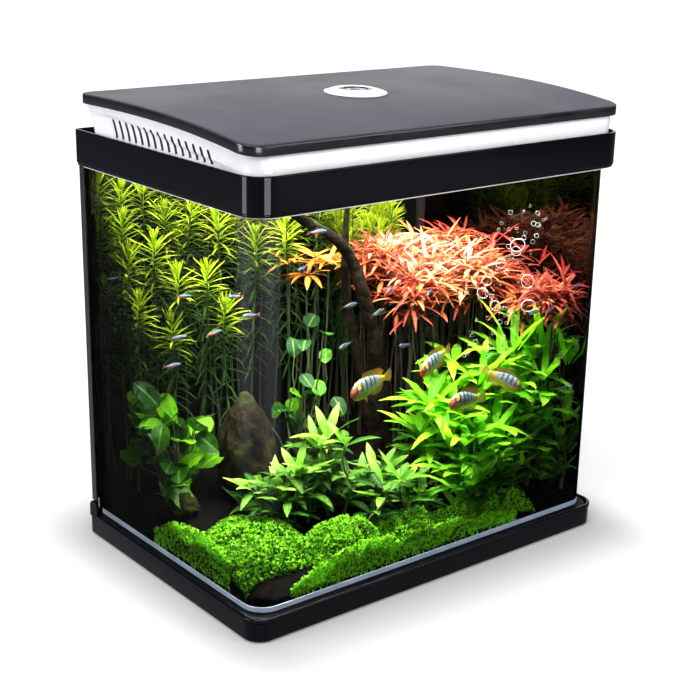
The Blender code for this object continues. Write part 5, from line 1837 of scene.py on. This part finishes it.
def make_rear_beads():
    """Black silicone that closes each rear corner below the corner trim."""
    look = moulded("corner_bead_black", (0.006, 0.006, 0.007), (0.010, 0.010, 0.011), 0.45, 500.0, 0.3)
    for name, side in (("rear_corner_bead_left", -1), ("rear_corner_bead_right", 1)):
        outline = rounded(0.0027, 0.1543, 0.1556, 0.0005, 0.0005, 3)
        outline = [(side * 0.2335 + x, y) for x, y in outline]
        bead = from_shape(name, loft([at_height(outline, BASE_TOP + 0.0005), at_height(outline, 0.0418)]))
        settle(bead, [look], "tank")


# The CAD nodes that stay --------------------------------------------------------------------------
def dress(nodes, look):
    for node in nodes:
        made = frame["nodes"][node]
        made.data.materials.clear()
        made.data.materials.append(look)


FEET = ["foot_front_left", "foot_front_right", "foot_rear_left", "foot_rear_right"]
HINGES = ["hinge_bracket_left", "hinge_bracket_right", "hinge_knuckle_left", "hinge_knuckle_right"]
PINS = ["hinge_pin_left", "hinge_pin_right", "lamp_screw_left", "lamp_screw_right"]
FILTER = ["filter_tray", "drip_plate", "pump_body", "intake_cover", "riser_pipe"]
CUPS = ["suction_cup_lower", "suction_cup_upper"]
# Each row: nodes, material, its two tones, roughness, grain, grain depth, what else differs.
PLAIN_LOOKS = (
    (
        FEET + ["cable_gland"], "rubber_black", (0.012, 0.012, 0.012), (0.020, 0.020, 0.020), 0.75, 500.0,
        0.4, {}
    ),
    (
        ["levelling_pad"], "levelling_foam", (0.010, 0.010, 0.011), (0.018, 0.018, 0.020), 0.9, 700.0, 0.8,
        {}
    ),
    (
        ["rear_pane"], "pane_over_film", (0.003, 0.003, 0.003), (0.005, 0.005, 0.005), 0.12, 60.0, 0.02,
        {"specular": 0.3, "wear": 0.04},
    ),
    (
        ["background_film"], "background_film", (0.010, 0.010, 0.010), (0.014, 0.014, 0.014), 0.60, 120.0,
        0.1, {}
    ),
    (
        [
            "corner_trim_left", "corner_trim_right"
        ], "trim_black", (0.006, 0.006, 0.008), (0.009, 0.009, 0.011),
        0.30, 800.0, 0.1, {},
    ),
    (HINGES, "hinge_nylon", (0.03, 0.03, 0.033), (0.045, 0.045, 0.05), 0.45, 600.0, 0.3, {}),
    (PINS, "steel_brushed", (0.50, 0.50, 0.52), (0.62, 0.62, 0.63), 0.30, 900.0, 0.2, {"metallic": 1.0}),
    (
        ["lamp_housing"], "lamp_silver", (0.55, 0.56, 0.58), (0.68, 0.69, 0.71), 0.35, 500.0, 0.2,
        {"metallic": 0.6}
    ),
    (["lamp_board"], "lamp_board_white", (0.78, 0.79, 0.78), (0.85, 0.85, 0.84), 0.5, 300.0, 0.1, {}),
    (["switch_board"], "board_green", (0.03, 0.17, 0.07), (0.05, 0.24, 0.10), 0.45, 500.0, 0.2, {}),
    (
        FILTER, "filter_black", (0.006, 0.006, 0.007), (0.010, 0.010, 0.011), 0.50, 700.0, 0.2,
        {"specular": 0.12}
    ),
    (["filter_sponge"], "sponge_blue", (0.03, 0.10, 0.26), (0.06, 0.17, 0.38), 0.9, 260.0, 1.0, {}),
    (["impeller"], "impeller_white", (0.70, 0.70, 0.68), (0.80, 0.80, 0.78), 0.35, 600.0, 0.2, {}),
    (["flow_knob"], "knob_grey", (0.10, 0.10, 0.11), (0.14, 0.14, 0.15), 0.45, 600.0, 0.3, {}),
    (CUPS, "suction_rubber", (0.03, 0.05, 0.04), (0.05, 0.07, 0.06), 0.35, 400.0, 0.2, {}),
)


def dress_frame():
    """Gives every CAD node that stays visible its material."""
    for nodes, name, colour, other, roughness, grain, depth, extra in PLAIN_LOOKS:
        dress(nodes, moulded(name, colour, other, roughness, grain, depth, **extra))
    edge, web = new_look("pane_edge_blue_painted_glow")
    patch = web.noise(40.0, 4.0)
    web.surface(
        web.shader(
            Base_Color=web.mix(patch, (0.42, 0.50, 0.62), (0.55, 0.62, 0.72)),
            Roughness=web.ramp(patch, 0.3, 0.7, 0.28, 0.42),
            # Painted glow: the emission makes the pane edges shine as if lamp light ran along the glass.
            Emission_Color=web.mix(patch, (0.38, 0.47, 0.66), (0.50, 0.58, 0.74)),
            Emission_Strength=web.ramp(patch, 0.2, 0.8, 0.34, 0.50),
        )
    )
    dress(["bottom_seam", "bottom_pane"], edge)
    lens, web = new_look("lamp_lens")
    beads = web.cells(180.0)
    web.surface(
        web.shader(
            Base_Color=web.mix(web.ramp(beads, 0.1, 0.5), (0.95, 0.97, 1.0), (0.75, 0.80, 0.88)),
            Roughness=0.2,
            Emission_Color=(0.9, 0.95, 1.0),
            Emission_Strength=web.ramp(beads, 0.25, 0.05, 0.25, 2.2),
        )
    )
    dress(["lamp_lens"], lens)
    media, web = new_look("media_ceramic")
    pores = web.cells(240.0)
    web.surface(
        web.shader(
            Base_Color=web.mix(web.ramp(pores, 0.05, 0.4), (0.30, 0.24, 0.20), (0.80, 0.74, 0.68)),
            Roughness=web.ramp(pores, 0.0, 0.5, 0.7, 0.95),
            Normal=web.bump(pores, 0.8, 0.0015),
        )
    )
    dress(["filter_media"], media)


make_camera()
make_studio()
band_gloss = moulded(
    "gloss_black", (0.0016, 0.0011, 0.0026), (0.0024, 0.0018, 0.0036), 0.06, 300.0, 0.01, 0.105, wear=0.02
)
make_base(band_gloss)
make_top_frame(band_gloss)
make_frame_seal()
make_panel()
make_hood_body()
make_switch(
    moulded("bezel_white", (0.84, 0.84, 0.85), (0.88, 0.88, 0.89), 0.22, 600.0, 0.05, coat=0.4),
    moulded("button_black", (0.010, 0.010, 0.012), (0.016, 0.016, 0.018), 0.30, 600.0, 0.1),
)
make_glass()
make_rear_beads()
make_substrate()
make_stones()
make_driftwood()
make_stem_plants()
make_red_plants()
make_sword_plants()
make_lance_plants()
make_broad_plants()
make_mosses()
make_fish()
make_bubbles()
dress_frame()
